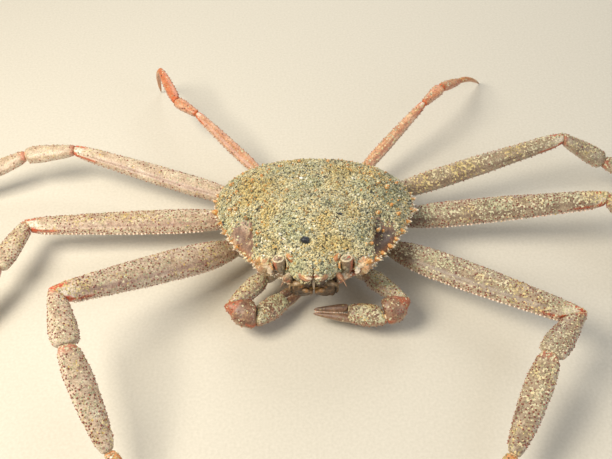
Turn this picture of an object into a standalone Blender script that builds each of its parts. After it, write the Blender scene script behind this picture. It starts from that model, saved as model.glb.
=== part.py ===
"""Tanner crab: a still, life-size model of a young male resting on its belly with its legs spread.

Sizes are in millimetres and become metres when a mesh is made. +Z is up, the face points along -Y
and the crab's right side lies at -X. The origin is the middle of the flat under the belly.
"""
import math

import bmesh
import bpy
from mathutils import Matrix, Vector

MM = 0.001
GAP = 0.3
MITRE = 0.15
SECTION_FULLNESS = 0.82

# Carapace: the outline in the plane of its edge, front half by points, rear half by an arc.
HALF_WIDTH = 40.0
WIDEST_Y = 5.0
REAR_Y = 37.0
REAR_FULLNESS = 0.86
FRONT = [
    (0.0, -39.4), (0.9, -41.0), (2.2, -41.8), (4.0, -40.8), (6.4, -38.6), (9.4, -35.9),
    (12.0, -34.2), (15.4, -33.6), (18.2, -34.6), (20.4, -35.2), (21.8, -32.2), (24.2, -28.8),
    (27.4, -24.6), (30.4, -20.0), (33.2, -14.8), (35.8, -9.4), (38.4, -2.4), (HALF_WIDTH, WIDEST_Y),
]
REAR_STEPS = 15
SMOOTHING = 4
TEETH_FROM = 0.72
RINGS = 18
DOME = 12.5
DOME_START = 2.6
DOME_ROUNDNESS = 0.68
WALL_DEPTH = 12.5
WALL_INSET = 0.32
REAR_WALL_RISE = 3.0
FRONT_WALL_SINK = 2.0
WALL_FLARE = 1.4
WALL_STEEPNESS = 0.9
# Raised regions and hollows of the shell: x, y, height, spread in x and in y.
REGIONS = [
    (0.0, -13.0, 2.4, 11.0, 10.0), (0.0, 13.0, 1.8, 7.0, 8.0), (0.0, 1.5, -1.2, 8.0, 2.6),
    (23.0, 9.0, 2.4, 10.0, 14.0), (13.0, 2.0, -1.5, 3.4, 9.0), (26.8, -17.5, -5.6, 4.4, 6.2),
    (14.0, -24.0, 1.6, 7.0, 6.0), (0.0, 29.0, 0.8, 10.0, 5.0),
]

# How the body lies: nose up and turned a little to its right, above the belly flat.
PITCH = math.radians(-11.5)
YAW = math.radians(-1.6)
BODY_Y = -14.9
BODY_Z = 24.2

# Spines along the edge: share of the outline from the middle of the front to the rear, length,
# width at the root, rise in degrees. Then tubercles on top: x, y, length, width at the root.
EDGE_SPINES = [
    (0.335, 2.2, 2.0, 10), (0.362, 1.6, 1.8, 15), (0.392, 2.0, 2.0, 12), (0.420, 1.6, 1.8, 20),
    (0.450, 2.4, 2.3, 12), (0.482, 2.0, 2.1, 20), (0.515, 3.0, 2.8, 15), (0.556, 2.2, 2.4, 25),
    (0.590, 1.6, 2.0, 30), (0.640, 1.4, 2.0, 30), (0.690, 1.2, 1.8, 30), (0.745, 1.0, 1.8, 30),
]
TUBERCLES = [
    (33.2, -4.0, 1.5, 2.3), (30.2, -5.4, 1.3, 2.1), (30.0, 4.0, 1.6, 2.6), (26.4, 4.6, 1.2, 2.2),
    (23.6, 7.6, 1.2, 2.2), (20.4, 9.0, 1.0, 2.0), (24.4, -19.0, 1.4, 2.1), (20.6, -27.0, 1.4, 2.1),
    (25.6, -11.4, 1.5, 2.2), (33.6, 12.0, 1.2, 2.1), (14.0, 18.0, 1.0, 2.0), (1.4, -3.3, 1.2, 2.2),
    (10.4, 0.6, 1.0, 2.0), (3.8, 9.6, 1.1, 2.1), (29.0, 18.0, 1.0, 2.0), (7.0, -18.0, 1.0, 2.0),
    (21.0, 24.0, 0.9, 2.0), (6.0, 24.0, 0.9, 2.0),
]
SPINE_SIDES = 6
SPINE_TIP = 0.15
SPINE_SINK = 1.3
SPINE_RAISE = 0.3
SLOPE_STEP = 0.5

# Eye, its socket, antenna and mouth plates, in the body's own axes.
EYE_AT = (12.4, -34.3, 1.5)
EYE_SIZE = (2.5, 2.4, 3.2)
SOCKET_SIZE = (3.1, 3.1, 3.9)
ANTENNA_ROOT = (8.9, -35.6, -1.9)
ANTENNA_BASE = (1.4, -2.8, 0.0)
ANTENNA_END = (3.0, -7.4, 0.2)
ANTENNA_RADII = (1.2, 1.2, 1.1, 0.42, 0.28)
ANTENNA_INSIDE = 0.8
ANTENNA_STEP = 0.12
MAXILLIPED_AT = (4.8, -33.6, -8.9)
MAXILLIPED_SIZE = (4.65, 2.6, 6.9)
MAXILLIPED_LEAN = math.radians(36)

STERNUM_SIZE = (19.0, 26.0)
STERNUM_FRONT_TAPER = 0.42
STERNUM_Y = 4.0
STERNUM_DEPTH = 9.0
STERNUM_RIM = 1.15
STERNUM_FLAT = 0.25
STERNUM_ROUNDNESS = 0.8
ABDOMEN_FRONT = -5.0
ABDOMEN_REAR = 35.0
ABDOMEN_HALF_WIDTH = 8.5
ABDOMEN_THICKNESS = 2.4
ABDOMEN_STATIONS = 10
ABDOMEN_NARROW_END = 0.3
ABDOMEN_TUCK = 1.0
ABDOMEN_HINGE_RISE = 5.4
ABDOMEN_HINGE_FROM = 0.72
ABDOMEN_DRAW_IN = 0.25
ABDOMEN_DRAW_IN_FROM = 0.8

# Walking legs, first to last: root at the body, then for each of the five segments its length,
# half its width and half its thickness.
LEG_ROOT = {1: (20.5, -18.0, 9.0), 2: (21.0, -7.5, 10.0), 3: (20.0, 2.0, 9.0), 4: (14.0, 11.0, 8.0)}
LEG_SEGMENTS = ("base", "merus", "carpus", "propodus", "dactylus")
LEG_SIZE = {
    1: ((12.0, 4.4, 3.6), (77.5, 6.0, 3.1), (21.0, 5.2, 2.9), (38.0, 5.0, 2.5), (33.0, 2.3, 1.7)),
    2: ((12.0, 4.2, 3.5), (86.0, 5.3, 3.0), (24.0, 4.7, 2.8), (42.0, 4.4, 2.4), (37.0, 2.1, 1.6)),
    3: ((12.5, 3.9, 3.2), (78.0, 4.4, 2.7), (22.0, 4.0, 2.6), (40.0, 3.7, 2.2), (35.0, 1.9, 1.5)),
    4: ((12.0, 3.0, 2.6), (45.5, 2.7, 2.0), (13.0, 2.6, 2.0), (25.0, 2.4, 1.8), (25.0, 1.5, 1.2)),
}
# The pose: for each segment the angle towards the face from straight out, and the rise. The last
# segment's fall follows from its length, as its tip stands on the floor.
LEG_POSE = {
    (1, "r"): ((18, 14), (35, 20), (107, -7), (116, -28), 130),
    (2, "r"): ((-10, 9), (2, 2), (72, 3), (62, -13), 50),
    (3, "r"): ((-19, 15), (-20, 5), (2, -4), (22, -12), 30),
    (4, "r"): ((-52, 16), (-47, 12), (-40, 4), (-68, 1), -70),
    (1, "l"): ((30, 14), (35, 8), (129, 1), (118, -14), 132),
    (2, "l"): ((2, 9), (4, 10), (48, -10), (58, -18), 60),
    (3, "l"): ((-19, 15), (-10, 13), (10, -30), (22, -14), 34),
    (4, "l"): ((-54, 14), (-45, 17), (-47, 5), (-56, -26), -48),
}
LAST_LEG_FACE = Vector((0.0, -0.3, 0.95)).normalized()
TIP_HEIGHT = 0.1
TIP_BOW = 1.6
ROOT_INSIDE = 2.0

# Claw arms: the joints' places in turn on the crab's right and left, then each segment's name,
# profile, half width and half thickness.
CLAW_JOINTS = {
    "r": ((-15.0, -29.0, 9.4), (-20.5, -36.0, 10.4), (-32.0, -50.0, 12.0), (-23.6, -55.6, 9.6),
          (-12.6, -45.2, 8.0), (-2.6, -36.4, 6.4)),
    "l": ((15.0, -29.0, 9.4), (20.5, -36.0, 10.4), (32.6, -50.0, 12.0), (26.0, -56.2, 9.6),
          (12.0, -53.0, 8.4), (-1.4, -50.8, 7.2)),
}
CLAW_CHAIN = (("base", "base", 3.7, 3.2), ("merus", "merus", 3.7, 3.4), ("carpus", "wrist", 5.4, 4.6))
PALM_SIZE = (4.3, 3.2)
FINGER_SIZE = (1.6, 1.6)
FINGER_SIDES = 8
CLAW_FACE = Vector((0.0, -0.45, 0.9)).normalized()
KNUCKLE_SPLIT = 0.5
TIP_SPLIT = 0.8


def material(name, colour, roughness):
    """A plain Principled material from an sRGB colour."""
    made = bpy.data.materials.new(name)
    made.use_nodes = True
    shader = made.node_tree.nodes["Principled BSDF"]
    linear = [((c + 0.055) / 1.055) ** 2.4 if c > 0.04045 else c / 12.92 for c in colour]
    shader.inputs["Base Color"].default_value = (*linear, 1.0)
    shader.inputs["Roughness"].default_value = roughness
    return made


def add_object(name, bm, look, place=None, into="crab"):
    """The bmesh, in millimetres, as an object placed by a matrix whose translation is millimetres."""
    bmesh.ops.scale(bm, vec=(MM, MM, MM), verts=bm.verts)
    bmesh.ops.recalc_face_normals(bm, faces=bm.faces)
    mesh = bpy.data.meshes.new(name)
    bm.to_mesh(mesh)
    bm.free()
    made = bpy.data.objects.new(name, mesh)
    bpy.data.collections[into].objects.link(made)
    if look:
        mesh.materials.append(look)
    if place is not None:
        made.matrix_world = Matrix.Translation(place.translation * MM) @ place.to_3x3().to_4x4()
    mesh.shade_smooth()
    mesh.set_sharp_from_angle(angle=math.radians(50))
    return made


def largest_body(bm):
    """Keeps only the largest closed surface of a mesh."""
    left = set(bm.verts)
    bodies = []
    while left:
        start = left.pop()
        body = {start}
        edge = [start]
        while edge:
            vert = edge.pop()
            for link in vert.link_edges:
                other = link.other_vert(vert)
                if other not in body:
                    body.add(other)
                    edge.append(other)
        left -= body
        bodies.append(body)
    bodies.sort(key=len)
    scraps = [vert for body in bodies[:-1] for vert in body]
    bmesh.ops.delete(bm, geom=scraps, context="VERTS")


def outline_half():
    """The right half of the carapace outline from the middle of the front to the middle of the rear.

    The rear is a quarter of a rounded oblong: cosine and sine of the angle, each to a power.
    """
    rear = []
    for step in range(1, REAR_STEPS + 1):
        angle = math.pi / 2 * step / REAR_STEPS
        x = HALF_WIDTH * max(math.cos(angle), 0.0) ** REAR_FULLNESS
        y = WIDEST_Y + (REAR_Y - WIDEST_Y) * math.sin(angle) ** REAR_FULLNESS
        rear.append((x, y))
    return FRONT + rear


def smooth_half():
    """The half outline with each point averaged with its neighbours, so its teeth are gone."""
    half = outline_half()
    mirrored = [(-x, y) for x, y in half[SMOOTHING:0:-1]]
    ending = [(-x, y) for x, y in half[-2:-2 - SMOOTHING:-1]]
    line = mirrored + half + ending
    span = 2 * SMOOTHING + 1
    return [tuple(sum(p[k] for p in line[i:i + span]) / span for k in (0, 1))
            for i in range(len(half))]


def outline_at(share):
    """The point at a share of the half outline, and the direction pointing out of it."""
    half = outline_half()
    place = share * (len(half) - 1)
    first = min(int(place), len(half) - 2)
    a, b = Vector(half[first]), Vector(half[first + 1])
    point = a.lerp(b, place - first)
    along = (b - a).normalized()
    out = Vector((-along.y, along.x))
    return point, out if out.dot(point) > 0 else -out


def shell_height(x, y, reach):
    """Height of the shell's top above its edge plane, where reach runs from 0 in the middle to 1."""
    dome = DOME * (1 - reach ** DOME_START) ** DOME_ROUNDNESS
    fade = 1 - reach ** 4
    for cx, cy, height, wide, long in REGIONS:
        for side in ((1, -1) if cx else (1,)):
            away = ((x - side * cx) / wide) ** 2 + ((y - cy) / long) ** 2
            dome += fade * height * math.exp(-away)
    return dome


def wall_depth(y):
    """Depth of the shell's underside below its edge plane, least at the rear and most at the mouth."""
    return (WALL_DEPTH - REAR_WALL_RISE * max(0.0, y / REAR_Y)
            + FRONT_WALL_SINK * max(0.0, -y / REAR_Y))


def make_shell(grow=0.0):
    """The plain carapace from a sphere: each vertex goes to its place on the dome, wall or underside.

    The azimuth picks the outline point and the polar angle the reach: sine on the dome, then the wall
    draws in by WALL_INSET while it sinks, and the underside closes flat.
    """
    half = outline_half()
    plain = smooth_half()
    count = 2 * (len(half) - 1)
    bm = bmesh.new()
    bmesh.ops.create_uvsphere(bm, u_segments=count, v_segments=RINGS, radius=1.0)
    for vert in bm.verts:
        polar = math.acos(max(-1.0, min(1.0, vert.co.z)))
        index = round(math.atan2(vert.co.x, -vert.co.y) / (2 * math.pi) * count)
        below = (polar - math.pi / 2) / (math.pi / 2)
        teeth = max(0.0, (math.sin(polar) - TEETH_FROM) / (1 - TEETH_FROM)) ** 2
        x, y = (a + (b - a) * teeth for a, b in zip(plain[abs(index)], half[abs(index)]))
        if index < 0:
            x = -x
        if below <= 1e-4:
            reach = math.sin(polar)
            x, y = x * reach, y * reach
            z = shell_height(x, y, min(reach, 1.0))
        elif below <= 0.5:
            sink = below * 2
            reach = 1 - WALL_INSET * sink ** WALL_FLARE
            x, y = x * reach, y * reach
            z = -wall_depth(y) * sink ** WALL_STEEPNESS
        else:
            reach = (1 - WALL_INSET) * (1 - below) * 2
            x, y = x * reach, y * reach
            z = -wall_depth(y)
        vert.co = (x, y, z)
    bm.normal_update()
    if grow:
        for vert, normal in [(v, v.normal.copy()) for v in bm.verts]:
            vert.co += normal * grow
    return bm


def make_cone(root, direction, length, width):
    """A tapered spine from a cone, sunk below its root and blunt at the tip."""
    bm = bmesh.new()
    bmesh.ops.create_cone(bm, cap_ends=True, segments=SPINE_SIDES, radius1=width / 2,
                          radius2=width * SPINE_TIP, depth=length + SPINE_SINK)
    turn = Vector((0, 0, 1)).rotation_difference(direction).to_matrix().to_4x4()
    middle = root + direction * ((length - SPINE_SINK) / 2)
    bmesh.ops.transform(bm, matrix=Matrix.Translation(middle) @ turn, verts=bm.verts)
    return bm


def shell_spines():
    """Spines round the edge and tubercles on top, on both sides."""
    pieces = []
    for side in (1, -1):
        for share, length, width, rise in EDGE_SPINES:
            point, out = outline_at(share)
            up = math.sin(math.radians(rise))
            flat = math.cos(math.radians(rise))
            direction = Vector((side * out.x * flat, out.y * flat, up))
            root = Vector((side * point.x, point.y, SPINE_RAISE))
            pieces.append(make_cone(root, direction, length, width))
        for x, y, length, width in TUBERCLES:
            reach = reach_of(x, y)
            here = shell_height(x, y, reach)
            rise_x = shell_height(x + SLOPE_STEP, y, reach_of(x + SLOPE_STEP, y)) - here
            rise_y = shell_height(x, y + SLOPE_STEP, reach_of(x, y + SLOPE_STEP)) - here
            direction = Vector((-side * rise_x, -rise_y, SLOPE_STEP)).normalized()
            pieces.append(make_cone(Vector((side * x, y, here)), direction, length, width))
    return pieces


def reach_of(x, y):
    """How far a point lies from the middle to the outline, along its own ray."""
    half = outline_half()
    heading = math.atan2(abs(x), -y)
    for (ax, ay), (bx, by) in zip(half, half[1:]):
        before, after = math.atan2(ax, -ay), math.atan2(bx, -by)
        if before <= heading <= after:
            share = (heading - before) / (after - before)
            far = math.hypot(ax + (bx - ax) * share, ay + (by - ay) * share)
            return min(1.0, math.hypot(x, y) / far)
    return 1.0


def applied(target, solver, operation, objects):
    """One Boolean on a collection of objects, applied, after which the objects are removed."""
    group = bpy.data.collections.new("joining")
    bpy.context.scene.collection.children.link(group)
    for other in objects:
        for holder in list(other.users_collection):
            holder.objects.unlink(other)
        group.objects.link(other)
    boolean = target.modifiers.new("joined", "BOOLEAN")
    boolean.operation = operation
    boolean.solver = solver
    boolean.operand_type = "COLLECTION"
    boolean.collection = group
    bpy.context.view_layer.update()
    graph = bpy.context.evaluated_depsgraph_get()
    mesh = bpy.data.meshes.new_from_object(target.evaluated_get(graph))
    target.modifiers.remove(boolean)
    bm = bmesh.new()
    bm.from_mesh(mesh)
    largest_body(bm)
    bm.to_mesh(mesh)
    bm.free()
    target.data = mesh
    for other in list(group.objects):
        bpy.data.objects.remove(other)
    bpy.data.collections.remove(group)


def cut_by(target, cutters):
    """Cuts an object clear of its neighbours, each by a cutter grown by the gap."""
    for cutter in cutters:
        boolean = target.modifiers.new("clear of " + cutter.name, "BOOLEAN")
        boolean.operation = "DIFFERENCE"
        boolean.solver = "EXACT"
        boolean.object = cutter


def make_cutter(name, bm, place):
    """A guide that only cuts: drawn as wire and left out of the render."""
    made = add_object(name, bm, None, place, into="cutters")
    made.hide_render = True
    made.display_type = "WIRE"
    return made


def make_ball(centre, size, sides=14, rows=9):
    """A sphere stretched to three half sizes."""
    bm = bmesh.new()
    bmesh.ops.create_uvsphere(bm, u_segments=sides, v_segments=rows, radius=1.0)
    bmesh.ops.scale(bm, vec=size, verts=bm.verts)
    bmesh.ops.translate(bm, vec=centre, verts=bm.verts)
    return bm


def make_loft(rings):
    """A closed solid over rings of equal point counts, capped at both ends."""
    bm = bmesh.new()
    rows = [[bm.verts.new(point) for point in ring] for ring in rings]
    for low, high in zip(rows, rows[1:]):
        for i in range(len(low)):
            j = (i + 1) % len(low)
            bm.faces.new((low[i], low[j], high[j], high[i]))
    bm.faces.new(list(reversed(rows[0])))
    bm.faces.new(rows[-1])
    return bm


def oval(half_width, half_thickness, sides, fullness=SECTION_FULLNESS):
    """Points of a rounded oblong across Y and Z."""
    points = []
    for i in range(sides):
        angle = 2 * math.pi * (i + 0.5) / sides
        c, s = math.cos(angle), math.sin(angle)
        points.append(Vector((0, math.copysign(abs(c) ** fullness, c) * half_width,
                              math.copysign(abs(s) ** fullness, s) * half_thickness)))
    return points


def make_sternum(grow=0.0):
    """The breast plate from a sphere: oval, flat on top under the carapace, bulging below."""
    bm = bmesh.new()
    bmesh.ops.create_uvsphere(bm, u_segments=28, v_segments=10, radius=1.0)
    for vert in bm.verts:
        polar = math.acos(max(-1.0, min(1.0, vert.co.z)))
        turn = math.atan2(vert.co.y, vert.co.x)
        below = max(0.0, (polar / math.pi - STERNUM_FLAT) / (1 - STERNUM_FLAT))
        reach = min(1.0, math.sin(polar) * STERNUM_RIM)
        taper = 1 - STERNUM_FRONT_TAPER * max(0.0, -math.sin(turn)) ** 1.6
        x = STERNUM_SIZE[0] * reach * math.cos(turn) * taper
        y = STERNUM_Y + STERNUM_SIZE[1] * reach * math.sin(turn)
        z = -wall_depth(y) - GAP - STERNUM_DEPTH * below ** STERNUM_ROUNDNESS
        vert.co = (x, y, z)
    bm.normal_update()
    if grow:
        for vert, normal in [(v, v.normal.copy()) for v in bm.verts]:
            vert.co += normal * grow
    return bm


def make_abdomen():
    """The male's narrow tail flap, folded under the breast plate: a lofted plate, wide at the rear."""
    rings = []
    for i in range(ABDOMEN_STATIONS):
        share = i / (ABDOMEN_STATIONS - 1)
        y = ABDOMEN_FRONT + (ABDOMEN_REAR - ABDOMEN_FRONT) * share
        widening = ABDOMEN_NARROW_END + (1 - ABDOMEN_NARROW_END) * share ** 0.8
        drawn = max(0.0, share - ABDOMEN_DRAW_IN_FROM) / (1 - ABDOMEN_DRAW_IN_FROM)
        half = ABDOMEN_HALF_WIDTH * widening * (1 - ABDOMEN_DRAW_IN * drawn)
        hinge = max(0.0, share - ABDOMEN_HINGE_FROM) / (1 - ABDOMEN_HINGE_FROM)
        level = (ABDOMEN_TUCK + ABDOMEN_HINGE_RISE * hinge - wall_depth(y) - GAP - STERNUM_DEPTH
                 - ABDOMEN_THICKNESS / 2)
        section = oval(half, ABDOMEN_THICKNESS * 2 / 3, 12, 0.7)
        rings.append([Vector((p.y, y, level + p.z)) for p in section])
    return make_loft(rings)


def flat_on_floor(bm, place):
    """Presses whatever lies below the floor up onto it."""
    back = place.inverted()
    for vert in bm.verts:
        world = place @ vert.co
        if world.z < 0.0:
            world.z = 0.0
            vert.co = back @ world


def direction_of(side, forward, rise):
    """Unit vector from the angle towards the face and the rise, on one side of the crab."""
    forward, rise = math.radians(forward), math.radians(rise)
    sign = -1 if side == "r" else 1
    return Vector((sign * math.cos(forward) * math.cos(rise), -math.sin(forward) * math.cos(rise),
                   math.sin(rise)))


def leg_joints(leg, side):
    """The six joint places of one leg, from its root to its tip on the floor."""
    sign = -1 if side == "r" else 1
    root = Vector(LEG_ROOT[leg])
    points = [Vector((sign * root.x, root.y, root.z))]
    pose = LEG_POSE[(leg, side)]
    for (length, _, _), (forward, rise) in zip(LEG_SIZE[leg], pose[:4]):
        points.append(points[-1] + direction_of(side, forward, rise) * length)
    last = LEG_SIZE[leg][4][0]
    fall = math.degrees(math.asin((points[-1].z - TIP_HEIGHT) / last))
    points.append(points[-1] + direction_of(side, pose[4], -fall) * last)
    return points


def leg_face(leg, points):
    """The direction that the broad side of a leg's segments looks to: across the bend at its knee."""
    if leg == 4:
        return LAST_LEG_FACE
    across = (points[2] - points[1]).cross(points[4] - points[3]).normalized()
    return across if across.z > 0 else -across


# For each kind of segment: places along it, its half width and its half thickness there, as shares.
PROFILES = {
    "base": ((0.0, 0.86, 0.9), (0.35, 1.0, 1.0), (0.75, 0.98, 0.98), (1.0, 0.74, 0.84)),
    "merus": ((0.0, 0.54, 0.8), (0.05, 0.7, 0.92), (0.13, 0.88, 1.0), (0.27, 1.0, 1.0),
              (0.5, 0.96, 1.0), (0.74, 0.82, 0.95), (0.92, 0.7, 0.88), (1.0, 0.52, 0.74)),
    "carpus": ((0.0, 0.56, 0.8), (0.16, 0.7, 0.94), (0.42, 0.86, 1.0), (0.74, 1.0, 1.0),
               (0.92, 0.94, 0.92), (1.0, 0.66, 0.78)),
    "wrist": ((0.0, 0.5, 0.62), (0.12, 0.74, 0.82), (0.34, 0.96, 0.98), (0.6, 1.0, 1.0),
              (0.86, 0.84, 0.86), (1.0, 0.5, 0.62)),
    "propodus": ((0.0, 0.6, 0.86), (0.08, 0.82, 0.98), (0.3, 1.0, 1.0), (0.6, 0.92, 0.9),
                 (0.9, 0.66, 0.76), (1.0, 0.42, 0.66)),
    "dactylus": ((0.0, 0.84, 0.9), (0.1, 1.0, 1.0), (0.4, 0.82, 0.84), (0.7, 0.56, 0.6),
                 (0.9, 0.34, 0.36), (1.0, 0.17, 0.24)),
    "palm": ((0.0, 0.55, 0.64), (0.14, 0.82, 0.88), (0.5, 1.0, 1.0), (0.82, 0.9, 0.88),
             (1.0, 0.7, 0.66)),
    "finger": ((0.0, 0.9, 0.95), (0.25, 1.0, 1.0), (0.6, 0.74, 0.76), (0.88, 0.46, 0.5),
               (1.0, 0.2, 0.26)),
}


JOINT_ROOM = 0.88
JOINT_CORE = 0.05


def fit_joint(point, plane, joint, next_ring, ends_here):
    """Keeps a segment's point on its own side of a joint's plane, whose normal looks into the segment.

    The inside of a bend narrows towards the joint. A point of the end ring is then slid along X
    onto the plane, set back by MITRE.
    """
    sideways = point.y * plane.y + point.z * plane.z
    room = abs(plane.x) * (next_ring / 2 if ends_here else abs(point.x - joint)) * JOINT_ROOM
    room = max(room - MITRE, JOINT_CORE)
    if -sideways > room:
        share = room / -sideways
        point.y *= share
        point.z *= share
        sideways *= share
    if ends_here:
        point.x = joint + (MITRE - sideways) / plane.x


def segment(kind, start, end, before, after, face, half_width, half_thickness, sides=12, bow=0.0):
    """One limb segment: a loft from joint to joint whose ends lie in the planes halving the bends.

    It is made along +X from its own joint and returned with the matrix that places it.
    """
    axis = (end - start).normalized()
    length = (end - start).length
    up = (face - axis * face.dot(axis)).normalized()
    across = up.cross(axis)
    turn = Matrix((axis, across, up)).transposed().to_4x4()
    place = Matrix.Translation(start) @ turn
    profile = PROFILES[kind]
    into_local = turn.to_3x3().inverted()
    start_plane = into_local @ (before + axis).normalized() if before is not None else None
    end_plane = into_local @ (after + axis).normalized() if after is not None else None
    rings = []
    for at, wide, thick in profile:
        ring = oval(half_width * wide, half_thickness * thick, sides)
        for point in ring:
            point.x = at * length
            point.z += bow * math.sin(math.pi * at ** 0.8)
            if start_plane is not None:
                fit_joint(point, start_plane, 0.0, profile[1][0] * length, at == 0.0)
            if end_plane is not None:
                fit_joint(point, -end_plane, length, (1 - profile[-2][0]) * length, at == 1.0)
        rings.append(ring)
    return make_loft(rings), place


def make_limb(joints, sizes, face, looks, bow_last=0.0):
    """The chain of segments of one limb, each its own object, from names, profiles and half sizes."""
    made = []
    lines = [(b - a).normalized() for a, b in zip(joints, joints[1:])]
    for i, (name, kind, half_width, half_thickness) in enumerate(sizes):
        before = lines[i - 1] if i else None
        after = lines[i + 1] if i + 1 < len(lines) else None
        start = joints[i] if i else joints[0] - lines[0] * ROOT_INSIDE
        bow = bow_last if i == len(sizes) - 1 else 0.0
        bm, place = segment(kind, start, joints[i + 1], before, after, face, half_width,
                            half_thickness, bow=bow)
        flat_on_floor(bm, place)
        made.append(add_object(name, bm, looks[kind], place))
    return made


def make_hand(claw, joints, looks):
    """The palm with its fixed finger in one piece, and the moving finger beside it."""
    wrist, knuckle, tip = joints[3], joints[4], joints[5]
    axis = (knuckle - wrist).normalized()
    before = (wrist - joints[2]).normalized()
    up = (CLAW_FACE - axis * CLAW_FACE.dot(axis)).normalized()
    across = up.cross(axis)
    if across.z < 0:
        across = -across
    palm_bm, palm_place = segment("palm", wrist, knuckle, before, None, CLAW_FACE, *PALM_SIZE)
    palm = add_object(claw + "_palm", palm_bm, looks["palm"], palm_place)
    split = PALM_SIZE[0] * KNUCKLE_SPLIT
    lower_root = knuckle - across * split - axis * ROOT_INSIDE
    lower, lower_place = segment("finger", lower_root, tip - across * TIP_SPLIT, None, None,
                                 CLAW_FACE, *FINGER_SIZE, sides=FINGER_SIDES)
    fixed = add_object("fixed finger", lower, looks["palm"], lower_place)
    applied(palm, "EXACT", "UNION", [fixed])
    upper_root = knuckle + across * split + axis * (GAP - MITRE)
    upper_tip = tip + across * TIP_SPLIT
    lead = (upper_tip - upper_root).normalized()
    level = axis * 2 * axis.dot(lead) - lead
    upper, upper_place = segment("finger", upper_root, upper_tip, level, None, CLAW_FACE,
                                 *FINGER_SIZE, sides=FINGER_SIDES)
    add_object(claw + "_finger", upper, looks["finger"], upper_place)


for leftover in list(bpy.data.objects):
    bpy.data.objects.remove(leftover)
for name in ("crab", "cutters"):
    bpy.context.scene.collection.children.link(bpy.data.collections.new(name))

shell_look = material("sanded_shell", (0.66, 0.60, 0.42), 0.85)
limb_look = material("leg_shell", (0.66, 0.50, 0.44), 0.6)
tip_look = material("orange_shell", (0.80, 0.48, 0.28), 0.5)
claw_look = material("claw_shell", (0.60, 0.38, 0.30), 0.6)
belly_look = material("pale_shell", (0.86, 0.78, 0.66), 0.5)
mouth_look = material("mouth_shell", (0.45, 0.30, 0.18), 0.45)
eye_look = material("eye", (0.14, 0.10, 0.05), 0.12)
looks = {"base": limb_look, "merus": limb_look, "carpus": limb_look, "propodus": limb_look,
         "dactylus": tip_look, "wrist": claw_look, "palm": claw_look, "finger": claw_look}

body = (Matrix.Translation((0, BODY_Y, BODY_Z)) @ Matrix.Rotation(YAW, 4, "Z")
        @ Matrix.Rotation(PITCH, 4, "X"))

carapace = add_object("carapace", make_shell(), shell_look, body)
sockets = []
for side in (1, -1):
    hollow = make_ball((side * EYE_AT[0], EYE_AT[1], EYE_AT[2]), SOCKET_SIZE)
    sockets.append(add_object("socket", hollow, shell_look, body))
applied(carapace, "MANIFOLD", "DIFFERENCE", sockets)
spines = [add_object("spine", bm, shell_look, body) for bm in shell_spines()]
applied(carapace, "MANIFOLD", "UNION", spines)

sternum_bm = make_sternum()
flat_on_floor(sternum_bm, body)
sternum = add_object("sternum", sternum_bm, belly_look, body)
abdomen_bm = make_abdomen()
flat_on_floor(abdomen_bm, body)
abdomen = add_object("abdomen", abdomen_bm, belly_look, body)

shell_cutter = make_cutter("grown_carapace", make_shell(GAP), body)
sternum_cutter = make_cutter("grown_sternum", make_sternum(GAP), body)
cut_by(abdomen, [sternum_cutter, shell_cutter])

for side, sign in (("r", -1), ("l", 1)):
    eye = make_ball((sign * EYE_AT[0], EYE_AT[1], EYE_AT[2]), EYE_SIZE)
    add_object("eye_" + side, eye, eye_look, body)

    plate = make_ball((0, 0, 0), MAXILLIPED_SIZE, 16, 12)
    plate_at = Vector((sign * MAXILLIPED_AT[0], MAXILLIPED_AT[1], MAXILLIPED_AT[2]))
    lean = Matrix.Translation(plate_at) @ Matrix.Rotation(MAXILLIPED_LEAN, 4, "X")
    bmesh.ops.transform(plate, matrix=lean, verts=plate.verts)
    maxilliped = add_object("maxilliped_" + side, plate, mouth_look, body)
    cut_by(maxilliped, [shell_cutter, sternum_cutter])

    root = Vector((sign * ANTENNA_ROOT[0], ANTENNA_ROOT[1], ANTENNA_ROOT[2]))
    middle = root + Vector((sign * ANTENNA_BASE[0], ANTENNA_BASE[1], ANTENNA_BASE[2]))
    end = root + Vector((sign * ANTENNA_END[0], ANTENNA_END[1], ANTENNA_END[2]))
    inside = root - (middle - root) * ANTENNA_INSIDE
    points = (inside, root, middle, middle.lerp(end, ANTENNA_STEP), end)
    aim = Vector((1, 0, 0)).rotation_difference((end - inside).normalized()).to_matrix()
    rings = [[point + aim @ p for p in oval(radius, radius, 8, 1.0)] for point, radius in
             zip(points, ANTENNA_RADII)]
    antenna = add_object("antenna_" + side, make_loft(rings), mouth_look, body)
    cut_by(antenna, [shell_cutter])

    claw = "claw_" + side
    joints = [Vector(p) for p in CLAW_JOINTS[side]]
    sizes = [(claw + "_" + part, *size) for part, *size in CLAW_CHAIN]
    arm = make_limb(joints[:5], sizes, CLAW_FACE, looks)
    cut_by(arm[0], [shell_cutter, sternum_cutter])
    make_hand(claw, joints, looks)

    for leg in LEG_ROOT:
        joints = leg_joints(leg, side)
        sizes = [("leg%d_%s_%s" % (leg, side, kind), kind, half_width, half_thickness)
                 for kind, (_, half_width, half_thickness) in zip(LEG_SEGMENTS, LEG_SIZE[leg])]
        chain = make_limb(joints, sizes, leg_face(leg, joints), looks, bow_last=TIP_BOW)
        cut_by(chain[0], [shell_cutter, sternum_cutter])
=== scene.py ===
"""Looks for a life-size tanner crab that rests with a coat of sand on its back.

Lengths are millimetres until a mesh is made. The face looks along -Y, the crab's right side lies
at -X, and the origin is the middle of the flat under the belly.
"""
import math

import bpy
import numpy as np
from mathutils import Matrix


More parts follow.
